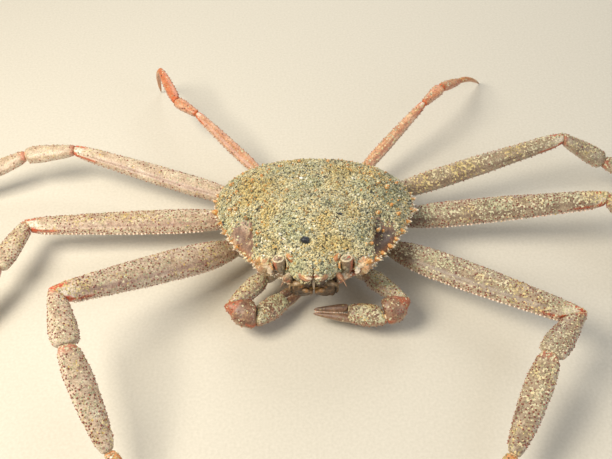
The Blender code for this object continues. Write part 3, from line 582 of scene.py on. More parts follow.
def segment(kind, start, end, before, after, face, half_width, half_thickness, bow=0.0):
    """A segment's skin: rings of superellipses whose half sizes follow the kind's profile.

    The rings stand along its own axis, the lips at both ends roll in, and each end lies in the plane
    that halves its joint's bend. Returns the grid of points, the share along it and the angle round
    it, which is a quarter turn on the side that looks up.
    """
    axis = unit(end - start)
    length = np.linalg.norm(end - start)
    up = unit(face - axis * (face @ axis))
    across = np.cross(up, axis)
    rows = max(int(length / MESH_STEP), 12)
    girth = 2 * math.pi * math.hypot(half_width, half_thickness) / math.sqrt(2)
    around = max(int(girth / MESH_STEP / 2) * 2, 16)
    at = (1 - np.cos(np.linspace(0, math.pi, rows + 1))) / 2
    at = (0.25 * at + 0.75 * np.linspace(0, 1, rows + 1))[:, None]
    angle = full_turn(around)[None, :]
    knots, wide, thick = np.array(PROFILES[kind]).T
    inset = np.minimum(at, 1 - at) * length
    lip = LIP_DEPTH * (1 - np.sqrt(1 - np.clip(1 - inset / LIP, 0.0, 1.0) ** 2))
    half_y = half_width * smooth_through(knots, wide, at) - lip
    half_z = half_thickness * smooth_through(knots, thick, at) - lip
    y = rounded(np.cos(angle), CORNER_FULLNESS) * half_y
    z = rounded(np.sin(angle), CORNER_FULLNESS) * half_z + bow * np.sin(math.pi * at ** 0.8)
    x = at * length + 0 * angle
    basis = np.stack([axis, across, up])
    if before is not None:
        x, y, z = fit_joint(x, y, z, basis @ unit(before + axis), 0.0, knots[1] * length)
    if after is not None:
        x, y, z = fit_joint(x, y, z, -(basis @ unit(after + axis)), length,
                            (1 - knots[-2]) * length)
    points = start + np.stack([x, y, z], -1) @ basis
    return points, at + 0 * angle, angle + 0 * at


def close_tube(points):
    """Adds an end cap to each end of a closed grid: two smaller rings and a middle point."""
    rings = list(points)
    for ring, where in ((points[0], 0), (points[-1], None)):
        middle = ring.mean(0)
        for share in (0.72, 0.36):
            inner = middle + (ring - middle) * share
            rings = [inner] + rings if where == 0 else rings + [inner]
    around = points.shape[1]
    grid = np.concatenate(rings)
    ends = np.array([points[0].mean(0), points[-1].mean(0)])
    first, last_ring = np.arange(around), (len(rings) - 1) * around + np.arange(around)
    fans = np.concatenate([
        np.stack([np.full(around, len(grid)), np.roll(first, -1), first], -1),
        np.stack([np.full(around, len(grid) + 1), last_ring, np.roll(last_ring, -1)], -1)])
    return np.concatenate([grid, ends]), grid_quads(len(rings), around, True)[:, ::-1], fans


def for_caps(values):
    """A grid's values with those of its end rings repeated for the caps and their middle points."""
    first, last_ring = values[0], values[-1]
    parts = [first, first, values.ravel(), last_ring, last_ring, first[:1], last_ring[:1]]
    return np.concatenate([np.ravel(part) for part in parts])


def closed_piece(name, grid, look, slot, nodes=(), values=None, turned_over=False):
    """A closed grid as a piece with capped ends; its values are given at the grid's points."""
    points, quads, fans = close_tube(grid)
    if turned_over:
        quads, fans = quads[:, ::-1], fans[:, ::-1]
    whole = {key: for_caps(np.clip(amount + 0 * grid[..., 0], 0, 1))
             for key, amount in (values or {}).items()}
    add_piece(name, points, quads, fans, look, slot, nodes, whole)


# Pink-tan chitin of the legs, mauve in a band and orange-red at the knees, and more orange in the last
# pair; the legs of the left side take a darker copy of it, which is painted shade. The dust on them is
# paler than the sand on the back.
DUST_TONES = [(0.00, "#8F8A70"), (0.10, "#B3AB8C"), (0.35, "#CFC5A4"), (0.70, "#DDD2B0"),
              (0.90, "#CBAE74")]
leg_chitin = shell_finish(
    "leg chitin", ("#B0967C", "#CAB296", "#DECFB4"), "#8A5A4A", "#C9542A", "#F4EAD8", "#93685A",
    0.42, DUST_TONES)
leg_chitin_in_painted_shade = shell_finish(
    "darker leg chitin", ("#88755E", "#A48F74", "#BDAA8C"), "#6E4638", "#B84C26", "#EDE0C8", "#6E5846",
    0.42, [(place, code) for place, code in DUST_TONES[:4]])
rear_leg_chitin = shell_finish(
    "rear leg chitin", ("#B87E5C", "#D29C74", "#E6C09A"), "#8A4A32", "#D4642C", "#F8EDDA", "#96604C",
    0.4, DUST_TONES)
# The claws' chitin is dark red-brown, made darker partly as painted shade.
claw_chitin = shell_finish(
    "claw chitin", ("#6A4E3C", "#8C6A52", "#AA8A6C"), "#BC9A78", "#B8623F", "#DEC4A0", "#402A1E",
    0.45, DUST_TONES)
tip_chitin = shell_finish(
    "dactylus chitin", ("#B9703F", "#CE8A52", "#DFA873"), "#7A3A1E", "#C8602A", "#F2DCB8", "#4A2A18",
    0.36)
# Cell and radius of the limbs' granules, the cell of their ripples, the lifts of both, the channel
# along the upper side, and the skin's inset. The channel's place is the sine of the turn round the
# segment and a width, and that of the mauve band is the cosine and a width.
LIMB_GRANULE, RIPPLE = (1.5, 0.44), 3.4
LIMB_GRANULE_LIFT, RIPPLE_LIFT, CHANNEL_DEPTH, LIMB_INSET = 0.20, 0.07, 0.16, 0.04
CHANNEL_AT, BAND_AT = (0.86, 0.07), (0.42, 0.24)
limb_skins = {}


def limb_piece(name, kind, grid, at, angle, look, slot, sand, seed, nodes=None, blush=0.0):
    """A limb's segment: granules in the skin, orange and white at its knee end, sand where it looks up.

    Each value is a share from 0 to 1 at each point, worked out from the place along and round it.
    The skin is kept: its grid, normals, shares along it, freedom for pimples and amount of sand.
    """
    normals = -grid_normals(grid, True)
    upward = normals[..., 2]
    middle = grid[len(at) // 2]
    front = np.cos(angle) * (-1 if middle[0, 1] > middle[at.shape[1] // 2, 1] else 1)
    granule = round_bumps(grid, *LIMB_GRANULE, seed, 0.8)
    granule = granule * (0.25 + 0.75 * step_between(-0.4, 0.4, upward))
    granule = granule * (0.4 if kind in ("dactylus", "finger") else 1.0)
    granule = granule * (0.4 if name[:4] in ("leg3", "leg4") else 1.0)
    channel = bell(np.sin(angle), *CHANNEL_AT) * step_between(0.04, 0.12, at)
    channel = channel * (kind in ("merus", "propodus"))
    lift = (LIMB_GRANULE_LIFT * granule + RIPPLE_LIFT * smooth_noise(grid, RIPPLE, seed + 7)
            - CHANNEL_DEPTH * channel)
    lift = lift * step_between(0.0, 0.03, np.minimum(at, 1 - at)) - LIMB_INSET

    far_end = step_between(0.92, 0.97, at) * (kind == "merus")
    near_end = step_between(0.09, 0.03, at) * (kind in ("carpus", "propodus", "palm"))
    band = bell(front, *BAND_AT) * step_between(0.98, 0.8, at) * (kind == "merus")
    patches = 0.6 * smooth_noise(grid, 6.0, seed + 11) + 0.4 * smooth_noise(grid, 1.8, seed + 12)
    dusting = np.clip(sand * step_between(-0.1, 0.75, upward) * (0.8 + 0.8 * patches), 0, 1)
    dusting = dusting * (1 - 0.8 * step_between(0.25, 0.6, granule)) * (1 - 0.75 * band)
    hooks = np.clip(step_between(0.82, 0.87, at) * bell(front, 0.84, 0.12)
                    + step_between(0.91, 0.95, at) * bell(front, -0.7, 0.3)
                    + step_between(0.95, 0.98, at) * step_between(0.35, 0.6, np.abs(front)), 0, 1)
    crest = (step_between(0.34, 0.16, at) * step_between(-0.3, 0.4, np.sin(angle))
             + 0.25 * step_between(0.2, 0.7, patches)) * (kind == "wrist")
    warm = np.clip(hooks * (kind in ("merus", "wrist")) + 0.6 * near_end + 0.8 * crest + blush, 0, 1)
    lower = step_between(-0.1, -0.7, upward)
    pale = np.clip(0.6 * np.abs(front) ** 8 * (1 - far_end) + 0.75 * far_end, 0, 1)
    pale = np.maximum(pale, 0.45 * lower) * (1 - warm)
    horny = step_between(0.86, 0.97, at) * (kind == "dactylus")
    # The lower side is paler chitin, and it is darkened a little as painted shade; the mauve band and
    # the horny tip are dark chitin.
    dusk = 0.3 * lower * (patches + 0.6) + 0.8 * band * (0.8 + 0.5 * patches) + horny

    moved = grid + normals * lift[..., None]
    moved[..., 2] = np.maximum(moved[..., 2], 0.0)
    values = {"sanded": dusting, "granule": granule * (1 - 0.7 * far_end), "warm": warm, "pale": pale,
              "dusk": dusk}
    closed_piece(name + "_shell", moved, look, slot, nodes or [name], values)
    free = (1 - band) * (1 - far_end) * step_between(-0.5, 0.0, upward)
    limb_skins[name] = moved, normals, at, free, dusting


looks = {kind: (leg_chitin, "limb_shell") for kind in LEG_SEGMENTS}
looks.update({kind: (claw_chitin, "claw_shell") for kind in ("wrist", "palm", "finger")})
looks["dactylus"] = (tip_chitin, "tip_shell")
LEG_SAND = {(1, "r"): 0.22, (2, "r"): 0.26, (3, "r"): 0.08, (4, "r"): 0.05,
            (1, "l"): 0.42, (2, "l"): 0.58, (3, "l"): 0.42, (4, "l"): 0.18}
REAR_LEG_BLUSH = (0.0, 0.05, 0.3, 0.6, 0.3)
for (leg, side), sand in LEG_SAND.items():
    joints = leg_joints(leg, side)
    lines = [unit(b - a) for a, b in zip(joints, joints[1:])]
    if leg == 4:
        face = unit(np.array(LAST_LEG_FACE))
    else:
        face = unit(np.cross(joints[2] - joints[1], joints[4] - joints[3]))
        face = face if face[2] > 0 else -face
    for i, kind in enumerate(LEG_SEGMENTS):
        start = joints[i] if i else joints[0] - lines[0] * ROOT_INSIDE
        grid, at, angle = segment(
            kind, start, joints[i + 1], lines[i - 1] if i else None, lines[i + 1] if i < 4 else None,
            face, *LEG_SIZE[leg][i][1:], bow=DACTYLUS_BOW if i == 4 else 0.0)
        name = "leg%d_%s_%s" % (leg, side, kind)
        style = looks[kind]
        # The left side's legs take the darker copy, painted shade; the last pair takes the more orange
        # chitin.
        if kind != "dactylus" and (leg == 4 or side == "l"):
            style = (rear_leg_chitin if leg == 4 else leg_chitin_in_painted_shade, "limb_shell")
        limb_piece(name, kind, grid, at, angle, *style, sand, 100 * leg + 10 * i + (side == "l"),
                   blush=REAR_LEG_BLUSH[i] if leg == 4 else 0.0)

# Claw arms: short round arms folded in front of the mouth, their palms under it. The palm carries
# the fixed finger, and the moving finger is hinged beside it.
CLAW_JOINTS = {
    "r": ((-15.0, -29.0, 9.4), (-20.5, -36.0, 10.4), (-32.0, -50.0, 12.0), (-23.6, -55.6, 9.6),
          (-12.6, -45.2, 8.0), (-2.6, -36.4, 6.4)),
    "l": ((15.0, -29.0, 9.4), (20.5, -36.0, 10.4), (32.6, -50.0, 12.0), (26.0, -56.2, 9.6),
          (12.0, -53.0, 8.4), (-1.4, -50.8, 7.2)),
}
# Part, profile, half width and thickness, and sand, for the chain, the palm and the fingers.
CLAW_CHAIN = (("base", "base", (3.7, 3.2), 0.3), ("merus", "merus", (3.7, 3.4), 0.9),
              ("carpus", "wrist", (5.4, 4.6), 0.06))
PALM_SIZE, PALM_SAND, FINGER_SIZE, FINGER_SAND = (4.3, 3.2), 0.9, (1.6, 1.6), 0.06
CLAW_FACE = unit(np.array([0.0, -0.45, 0.9]))
KNUCKLE_SPLIT, TIP_SPLIT = 0.5, 0.8


def claw_part(side, part, kind, start, end, before, after, size, sand, seed, nodes=None):
    """A segment of a claw arm from its start to its end, between the directions before and after."""
    grid, at, angle = segment(kind, start, end, before, after, CLAW_FACE, *size)
    limb_piece("claw_%s_%s" % (side, part), kind, grid, at, angle, *looks[kind], sand,
               seed + (side == "l"), nodes)


finger_sides = {}
for side in SIDES:
    joints = [np.array(point) for point in CLAW_JOINTS[side]]
    lines = [unit(b - a) for a, b in zip(joints, joints[1:])]
    for i, (part, kind, size, sand) in enumerate(CLAW_CHAIN):
        start = joints[i] if i else joints[0] - lines[0] * ROOT_INSIDE
        claw_part(side, part, kind, start, joints[i + 1], lines[i - 1] if i else None, lines[i + 1],
                  size, sand, 700 + 10 * i)
    wrist, knuckle, tip = joints[3:]
    axis = lines[3]
    across = np.cross(unit(CLAW_FACE - axis * (CLAW_FACE @ axis)), axis)
    across = across if across[2] > 0 else -across
    finger_sides[side] = across
    claw_part(side, "palm", "palm", wrist, knuckle, lines[2], None, PALM_SIZE, PALM_SAND, 740)
    split = PALM_SIZE[0] * KNUCKLE_SPLIT
    claw_part(side, "fixed_finger", "finger", knuckle - across * split - axis * ROOT_INSIDE,
              tip - across * TIP_SPLIT, None, None, FINGER_SIZE, FINGER_SAND, 750,
              ["claw_%s_palm" % side])
    root, tip = knuckle + across * split + axis * GAP_HALF, tip + across * TIP_SPLIT
    lead = unit(tip - root)
    claw_part(side, "finger", "finger", root, tip, 2 * axis * (axis @ lead) - lead, None,
              FINGER_SIZE, FINGER_SAND, 760)

# Joints: soft cream membrane in the gap between two segments, with white hinge knobs on both sides.
# Each membrane is a stretched ball in the plane that halves the bend.
# The knobs' place and width are shares of the segment's width there, their rise one of their width.
MEMBRANE_HALF_DEPTH, MEMBRANE_SHARE = 0.9, 0.45
KNOB_OUT, KNOB_LEAN, KNOB_WIDTH, KNOB_RISE = 0.36, 0.35, 0.20, 0.62


def ball(centre, basis, radii, rows=12, around=18):
    """A sphere stretched to three radii along the rows of the basis, as a closed grid of rings."""
    polar = np.linspace(0, math.pi, rows + 1)[1:-1, None]
    turn = full_turn(around)[None, :]
    local = np.stack([-np.cos(polar) + 0 * turn, np.sin(polar) * np.cos(turn),
                      np.sin(polar) * np.sin(turn)], -1) * radii
    return centre + local @ basis


def joined(parts):
    """Several (points, quads, triangles) as one, with the corner numbers counted on."""
    points, quads, triangles = zip(*parts)
    starts = np.cumsum([0] + [len(some) for some in points])
    return (np.concatenate(points), np.concatenate([some + k for some, k in zip(quads, starts)]),
            np.concatenate([some + k for some, k in zip(triangles, starts)]))


def studs(roots, aims, heights, widths, profile, sides=8):
    """Many small turned shapes on a surface: a profile of (height, radius) shares round each aim.

    Returns the points, faces and the share of the height at each point.
    """
    roots, aims = np.atleast_2d(roots), unit(np.atleast_2d(aims))
    count, (up, wide) = len(roots), np.array(profile, float).T
    heights, widths = np.broadcast_to(heights, count), np.broadcast_to(widths, count)
    helper = np.where(np.abs(aims[:, 2:]) < 0.9, [[0.0, 0.0, 1.0]], [[1.0, 0.0, 0.0]])
    u = unit(np.cross(helper, aims))
    v = np.cross(aims, u)
    turn = full_turn(sides)
    ring = u[:, None] * np.cos(turn)[None, :, None] + v[:, None] * np.sin(turn)[None, :, None]
    ring = ring[:, None] * (widths[:, None] / 2 * wide[None])[..., None, None]
    rise = aims[:, None] * (heights[:, None] * up[None])[..., None]
    body = roots[:, None, None] + rise[:, :, None] + ring
    ends = roots[:, None] + aims[:, None] * (heights[:, None] * up[[0, -1]])[..., None]
    points = np.concatenate([body.reshape(count, -1, 3), ends], 1)
    one = grid_quads(len(up), sides, True)[:, ::-1]
    first, top_ring = np.arange(sides), (len(up) - 1) * sides + np.arange(sides)
    size = len(up) * sides + 2
    fans = np.concatenate([np.stack([np.full(sides, size - 2), np.roll(first, -1), first], -1),
                           np.stack([np.full(sides, size - 1), top_ring, np.roll(top_ring, -1)], -1)])
    shift = np.arange(count)[:, None, None] * size
    share = np.concatenate([np.repeat(up, sides), up[[0, -1]]])
    return (points.reshape(-1, 3), (one[None] + shift).reshape(-1, 4),
            (fans[None] + shift).reshape(-1, 3), np.tile(np.clip(share, 0, 1), count))


KNOB = ((-0.4, 0.9), (0.0, 1.0), (0.45, 0.86), (0.8, 0.5), (1.0, 0.12))
SPINE = ((-0.35, 1.12), (0.0, 1.0), (0.3, 0.74), (0.62, 0.46), (0.86, 0.26), (1.0, 0.10))


def mottled(name, scale, detail, stops, inputs, relief=None):
    """A material coloured by noise, which may raise it too: relief is the bump's strength and height."""
    made, tree, shader, place = new_look(name)
    noise, colour = noise_colour(tree, place, scale, detail, stops)
    feed(shader, {"Base Color": colour, **inputs})
    if relief:
        bump = add_node(tree, "Bump", {"Height": noise, "Strength": relief[0], "Distance": relief[1]})
        feed(shader, {"Normal": bump.outputs[0]})
    return made


membrane = mottled(
    "arthrodial membrane", 1100.0, 3.0, [(0.3, "#C98E62"), (0.55, "#E6C39C"), (0.75, "#F4E3C8")],
    {"Roughness": 0.38, "Subsurface Weight": 0.25, "Subsurface Scale": 0.001}, (0.5, 0.0002))
knob_chitin = shell_finish(
    "hinge knob chitin", ("#D9783C", "#E89A5C", "#F2C48C"), "#B04A24", "#C8401E", "#FFF6E6",
    "#7A3A20", 0.35)


def stud_piece(name, made, look, slot, warm, pale, sanded=0.0):
    """Studs as one piece, coloured by the share of their height: warm and pale are (low, high)."""
    points, quads, triangles, share = made
    values = {"warm": step_between(*warm, share), "pale": step_between(*pale, share),
              "sanded": np.full(len(points), sanded)}
    add_piece(name, points, quads, triangles, look, slot, values=values)


limbs = [("leg%d_%s" % key, key[0], LEG_SEGMENTS) for key in LEG_SAND]
limbs += [("claw_" + side, 0, ("base", "merus", "carpus", "palm")) for side in SIDES]
for label, _, kinds in limbs:
    skins = [limb_skins["%s_%s" % (label, kind)][0] for kind in kinds]
    balls, knobs, aims, widths = [], [], [], []
    for lower, upper in zip(skins, skins[1:]):
        ring = lower[-1]
        middle = (ring.mean(0) + upper[0].mean(0)) / 2
        quarter = len(ring) // 4
        wide, tall = ring[0] - ring[2 * quarter], ring[quarter] - ring[-quarter]
        through = unit(np.cross(wide, tall))
        basis = np.stack([through, unit(wide), np.cross(through, unit(wide))])
        radii = np.array([MEMBRANE_HALF_DEPTH, MEMBRANE_SHARE * np.linalg.norm(wide),
                          MEMBRANE_SHARE * np.linalg.norm(tall)])
        balls.append(close_tube(ball(middle, basis, radii)))
        for way in (1.0, -1.0):
            knobs.append(middle + way * KNOB_OUT * wide)
            aims.append(way * unit(wide) + KNOB_LEAN * unit(tall))
            widths.append(KNOB_WIDTH * np.linalg.norm(wide))
    add_piece(label + "_membranes", *joined(balls), membrane, "underside_shell")
    knobs, aims, widths = np.array(knobs), np.array(aims), np.array(widths)
    stud_piece(label + "_hinge_knobs", studs(knobs, aims, KNOB_RISE * widths, widths, KNOB, 12),
               knob_chitin, "limb_shell", (0.6, 0.1), (0.5, 0.95))

# Granules: low dark red-brown pimples in loose rows on the upper sides of the legs and claws, and a
# row of white beads along the front edge of the first two pairs. They are of the same chitin.
PIMPLE = ((-0.2, 1.0), (0.5, 0.84), (1.0, 0.3))
PIMPLE_STEP, PIMPLE_SIZE, PIMPLE_RISE = 1.45, 0.42, 0.32
BEAD_STEP, BEAD_SIZE, BEAD_RISE = 1.65, 0.9, 0.55
PIMPLE_SHARE = {"leg1": 0.75, "leg2": 0.75, "leg3": 0.12, "leg4": 0.08, "claw": 0.5}
pimple_chitin = shell_finish(
    "granule chitin", ("#643226", "#7A4030", "#90543F"), "#54261E", "#9A5240", "#B98A6E", "#3A1A14",
    0.35)
for side, label in (("r", "right"), ("l", "left")):
    roots, aims, sizes, bead_roots, bead_aims = [], [], [], [], []
    for name, (moved, normals, at, free, _) in limb_skins.items():
        if "_%s_" % side not in name or name.endswith(("base", "dactylus", "finger")):
            continue
        length = np.linalg.norm(moved[-1].mean(0) - moved[0].mean(0))
        middle = moved[len(moved) // 2]
        girth = np.linalg.norm(np.diff(middle, axis=0), axis=-1).sum()
        along, round_it = int(length / PIMPLE_STEP), int(girth / PIMPLE_STEP)
        u, v = np.meshgrid(np.arange(along), np.arange(round_it), indexing="ij")
        cell = np.stack([u, v, 0 * u + length], -1)
        place = 0.05 + 0.86 * (u + 0.5 + 0.6 * (random_of(cell, 1) - 0.5)) / along
        turn = (v + 0.5 * (u % 2) + 0.6 * (random_of(cell, 2) - 0.5)) / round_it % 1
        row = np.searchsorted(at[:, 0], place)
        column = (turn * moved.shape[1]).astype(int)
        keep = random_of(cell, 3) < PIMPLE_SHARE[name[:4]] * free[row, column]
        roots.append(moved[row, column][keep])
        aims.append(normals[row, column][keep])
        sizes.append((PIMPLE_SIZE * (1 + random_of(cell, 4)))[keep])
        if name[:4] in ("leg1", "leg2") and name.endswith("merus"):
            half = moved.shape[1] // 2
            column = 0 if middle[0, 1] < middle[half, 1] else half
            row = np.searchsorted(at[:, 0], np.arange(0.16, 0.95, BEAD_STEP / length))
            bead_roots.append(moved[row, column])
            bead_aims.append(normals[row, column] + np.array([0.0, 0.0, 0.5]))
    roots, aims, sizes = np.concatenate(roots), np.concatenate(aims), np.concatenate(sizes)
    stud_piece("granules_" + label, studs(roots, aims, PIMPLE_RISE * sizes, sizes, PIMPLE),
               pimple_chitin, "limb_shell", (1.0, 0.4), (1.2, 1.4))
    roots, aims = np.concatenate(bead_roots), np.concatenate(bead_aims)
    sizes = BEAD_SIZE + 0.4 * random_of(roots, 6)
    stud_piece("edge_beads_" + label, studs(roots, aims, BEAD_RISE * sizes, sizes, KNOB),
               knob_chitin, "limb_shell", (0.15, -0.3), (0.2, 0.7), 0.08)

# Finger teeth: blunt white teeth along the edges where the two fingers of a claw meet.
TOOTH_PLACES, TOOTH_SIZE, TOOTH_RISE = np.linspace(0.14, 0.93, 15), 0.45, 0.7
for side, across in finger_sides.items():
    roots, aims = [], []
    for part, towards in (("fixed_finger", across), ("finger", -across)):
        moved, normals, at, *_ = limb_skins["claw_%s_%s" % (side, part)]
        middle = len(moved) // 2
        column = np.argmax((moved[middle] - moved[middle].mean(0)) @ towards)
        row = np.searchsorted(at[:, 0], TOOTH_PLACES)
        roots.append(moved[row, column])
        aims.append(normals[row, column])
    roots, aims = np.concatenate(roots), np.concatenate(aims)
    sizes = TOOTH_SIZE + 0.3 * random_of(roots, 9)
    stud_piece("finger_teeth_" + side, studs(roots, aims, TOOTH_RISE * sizes, sizes, KNOB),
               knob_chitin, "claw_shell", (0.1, -0.3), (0.0, 0.5))

# Spinules: rows of short thorns of chitin on the edges of the broad segments, in one with the shell.
# They stand on the segment's own skin, a few millimetres apart, and lean towards its tip.
spinule_chitin = shell_finish(
    "spinule chitin", ("#A8563A", "#C07A56", "#DDAE88"), "#6A2A1A", "#93402A", "#F6E8D2",
    "#4A2418", 0.4)
# The rows' places, as shares of the turn round a segment, and the spaces between their spinules.
SPINULE_ROWS = ((0.0, 2.3), (0.5, 2.3), (0.085, 3.4), (0.415, 3.4))
SPINULE_SIZE, LOWEST_SPINULE = 0.55, 0.8
for label, leg, kinds in limbs:
    roots, aims = [], []
    for kind in kinds[1:4]:
        moved, normals, at, *_ = limb_skins["%s_%s" % (label, kind)]
        length = np.linalg.norm(moved[-1].mean(0) - moved[0].mean(0))
        for turn_share, spacing in SPINULE_ROWS:
            column = int(turn_share * moved.shape[1])
            places = np.arange(0.06 * length, 0.95 * length, spacing)
            cell = np.stack([places, places * 0 + leg, places * 0 + column], -1)
            places = places + 0.35 * spacing * (random_of(cell, 5) - 0.5)
            row = np.clip(np.searchsorted(at[:, column], places / length), 1, len(at) - 2)
            onward = unit(moved[row + 1, column] - moved[row - 1, column])
            roots.append(moved[row, column])
            aims.append(unit(normals[row, column]) + 0.45 * onward)
    roots, aims = np.concatenate(roots), np.concatenate(aims)
    keep = roots[:, 2] > LOWEST_SPINULE
    roots, aims = roots[keep], aims[keep]
    sizes = 0.62 * (SPINULE_SIZE + 0.5 * random_of(roots, 8))
    stud_piece(label + "_spinules", studs(roots, aims, sizes, sizes, SPINE, 6), spinule_chitin,
               "limb_shell", (0.0, 0.5), (0.45, 1.0))

# Spines and tubercles of the carapace: thorns along its edge and blunt knobs on its back, of the same
# chitin, amber with cream tips where no sand covers them.
# Spines: share of the way along half the edge, length, width and rise in degrees. Tubercles: x and y
# as on the left side, height and width.
EDGE_SPINES = [
    (0.335, 2.2, 2.0, 10), (0.362, 1.6, 1.8, 15), (0.392, 2.0, 2.0, 12), (0.420, 1.6, 1.8, 20),
    (0.450, 2.4, 2.3, 12), (0.482, 2.0, 2.1, 20), (0.515, 3.0, 2.8, 15), (0.556, 2.2, 2.4, 25),
    (0.590, 1.6, 2.0, 30), (0.640, 1.4, 2.0, 30), (0.690, 1.2, 1.8, 30), (0.745, 1.0, 1.8, 30),
]
TUBERCLES = {
    "r": [(32.7, -4.7, 1.5, 2.3), (30.2, -6.1, 1.3, 2.1), (33.6, 1.1, 1.2, 1.9), (30.2, 2.6, 1.3, 2.1),
          (24.0, 6.1, 1.3, 2.0), (20.6, 7.9, 1.2, 1.9), (23.9, -17.0, 1.2, 1.9),
          (20.8, -22.0, 1.3, 1.9), (20.6, -27.0, 1.2, 1.8), (26.0, -11.4, 1.4, 2.1),
          (10.3, -0.9, 1.0, 1.7), (14.0, 18.0, 1.0, 1.8), (29.0, 18.0, 1.0, 1.8),
          (33.6, 12.0, 1.2, 2.0), (21.0, 24.0, 0.9, 1.8), (6.0, 24.0, 0.9, 1.8)],
    "l": [(33.0, -7.1, 1.5, 2.3), (30.4, -4.6, 1.2, 1.9), (29.2, 4.5, 1.7, 2.8), (25.8, 5.3, 1.3, 2.1),
          (23.4, 8.3, 1.2, 2.0), (20.4, 9.4, 1.0, 1.8), (24.6, -17.3, 1.4, 2.1),
          (26.6, -16.6, 1.1, 1.7), (21.6, -26.2, 1.2, 1.9), (19.7, -27.4, 1.1, 1.8),
          (24.8, -10.5, 1.5, 2.2), (1.1, -3.9, 1.1, 1.8), (3.3, 9.1, 1.0, 1.8),
          (14.0, 18.0, 1.0, 1.8), (29.0, 18.0, 1.0, 1.8), (33.6, 12.0, 1.2, 2.0),
          (21.0, 24.0, 0.9, 1.8), (6.0, 24.0, 0.9, 1.8)],
}
EDGE_SPINULES, SMALL_GRANULES, WALL_GRANULES = 66, 90, 1100


def top_place(x, y):
    """The carapace's surface point over x and y, and the direction that it faces there."""
    x, y = np.asarray(x, float), np.asarray(y, float)

    def height(px, py):
        away = np.hypot(px, py)
        return region_height(px, py, np.clip(away / edge_radius(np.arctan2(px, -py)), 0, 1))

    here, nudge = height(x, y), 0.4
    slope_x = (height(x + nudge, y) - here) / nudge
    slope_y = (height(x, y + nudge) - here) / nudge
    return np.stack([x, y, here], -1), unit(np.stack([-slope_x, -slope_y, np.ones_like(x)], -1))


spine_chitin = shell_finish(
    "edge spine chitin", ("#C39C66", "#D8B680", "#E8CD9E"), "#A8663A", "#C98638", "#FAF1DE",
    "#7A5434", 0.4)
half_edge = edge_points(False)


def edge_studs(shares, rise):
    """Places on half the edge, given as shares of its points, and the directions out and up there."""
    index = np.asarray(shares) * (len(half_edge) - 1)
    before = np.minimum(index.astype(int), len(half_edge) - 2)
    a, b = half_edge[before], half_edge[before + 1]
    root = a + (b - a) * (index - before)[:, None]
    along = unit(b - a)
    out = np.stack([-along[:, 1], along[:, 0]], -1)
    out = out * np.sign(np.sum(out * root, -1, keepdims=True))
    level, up = np.cos(np.radians(rise)), np.sin(np.radians(rise))
    aim = np.stack([out[:, 0] * level, out[:, 1] * level, up + 0 * out[:, 0]], -1)
    return np.stack([root[:, 0], root[:, 1], 0.3 + 0 * root[:, 0]], -1), aim


def body_studs(name, roots, aims, heights, widths, profile, sides, warm, pale, sanded=0.0):
    """Studs on the carapace, placed in the body's own axes, in the chitin of its spines."""
    points, *faces = studs(roots, aims, heights, widths, profile, sides)
    stud_piece(name, (on_body(points), *faces), spine_chitin, "carapace_shell", warm, pale, sanded)


def numbered(count, second, third):
    """Cells for random_of: a running number and two fixed ones."""
    many = np.arange(count)
    return np.stack([many, many * 0 + second, many * 0 + third], -1)


share, length, width, rise = np.array(EDGE_SPINES).T
spine_root, spine_aim = edge_studs(share, rise)
for side, mirror in SIDES.items():
    body_studs("edge_spines_" + side, spine_root * mirror, spine_aim * mirror, length, width, SPINE,
               14, (0.95, 0.3), (0.5, 1.05), 0.3)
    x, y, height, wide = np.array(TUBERCLES[side]).T
    root, aim = top_place(x, y)
    body_studs("tubercles_" + side, root * mirror, aim * mirror, height, wide * 0.8, KNOB, 12,
               (-0.4, 0.7), (0.9, 1.3), 0.35)
    cell = numbered(EDGE_SPINULES, mirror[0], 5)
    root, aim = edge_studs(0.3 + 0.3 * (cell[:, 0] + random_of(cell, 1)) / EDGE_SPINULES,
                           -30 + 60 * random_of(cell, 2))
    root[:, 2] -= 2.6 * random_of(cell, 3) ** 1.5
    size = 0.7 + 0.7 * random_of(cell, 4)
    body_studs("edge_spinules_" + side, root * mirror, aim * mirror, size * 0.9, size * 0.8, SPINE, 7,
               (0.3, -0.3), (0.0, 0.6), 0.15)
    cell = numbered(SMALL_GRANULES, mirror[0], 9)
    turn = math.pi * (0.2 + 0.72 * random_of(cell, 2))
    away = (0.42 + 0.5 * random_of(cell, 1) ** 0.7) * edge_radius(turn)
    x, y = away * np.sin(turn), -away * np.cos(turn)
    kept = beside_head(x, y) < 0.05
    root, aim = top_place(x[kept], y[kept])
    size = 0.5 + 0.5 * random_of(cell[kept], 3) ** 2
    body_studs("small_granules_" + side, root * mirror, aim * mirror, size * 0.75, size, KNOB, 8,
               (-0.5, 0.5), (1.0, 1.4), 0.35)

cell = numbered(WALL_GRANULES, 0, 3)
ring = (1 + 15 * random_of(cell, 1) ** 1.3).astype(int)
seat = base + ring * len(rim) + (len(rim) * random_of(cell, 2)).astype(int)
kept = (np.abs(shell_points[seat, 0]) > 9.5) | (shell_points[seat, 1] > 0)
seat, size = seat[kept], 0.4 + 0.45 * random_of(cell[kept], 3) ** 2
body_studs("wall_granules", shell_points[seat], skin_normals[seat], 0.5 * size, size, KNOB, 7,
           (0.3, -0.3), (0.2, 0.9))

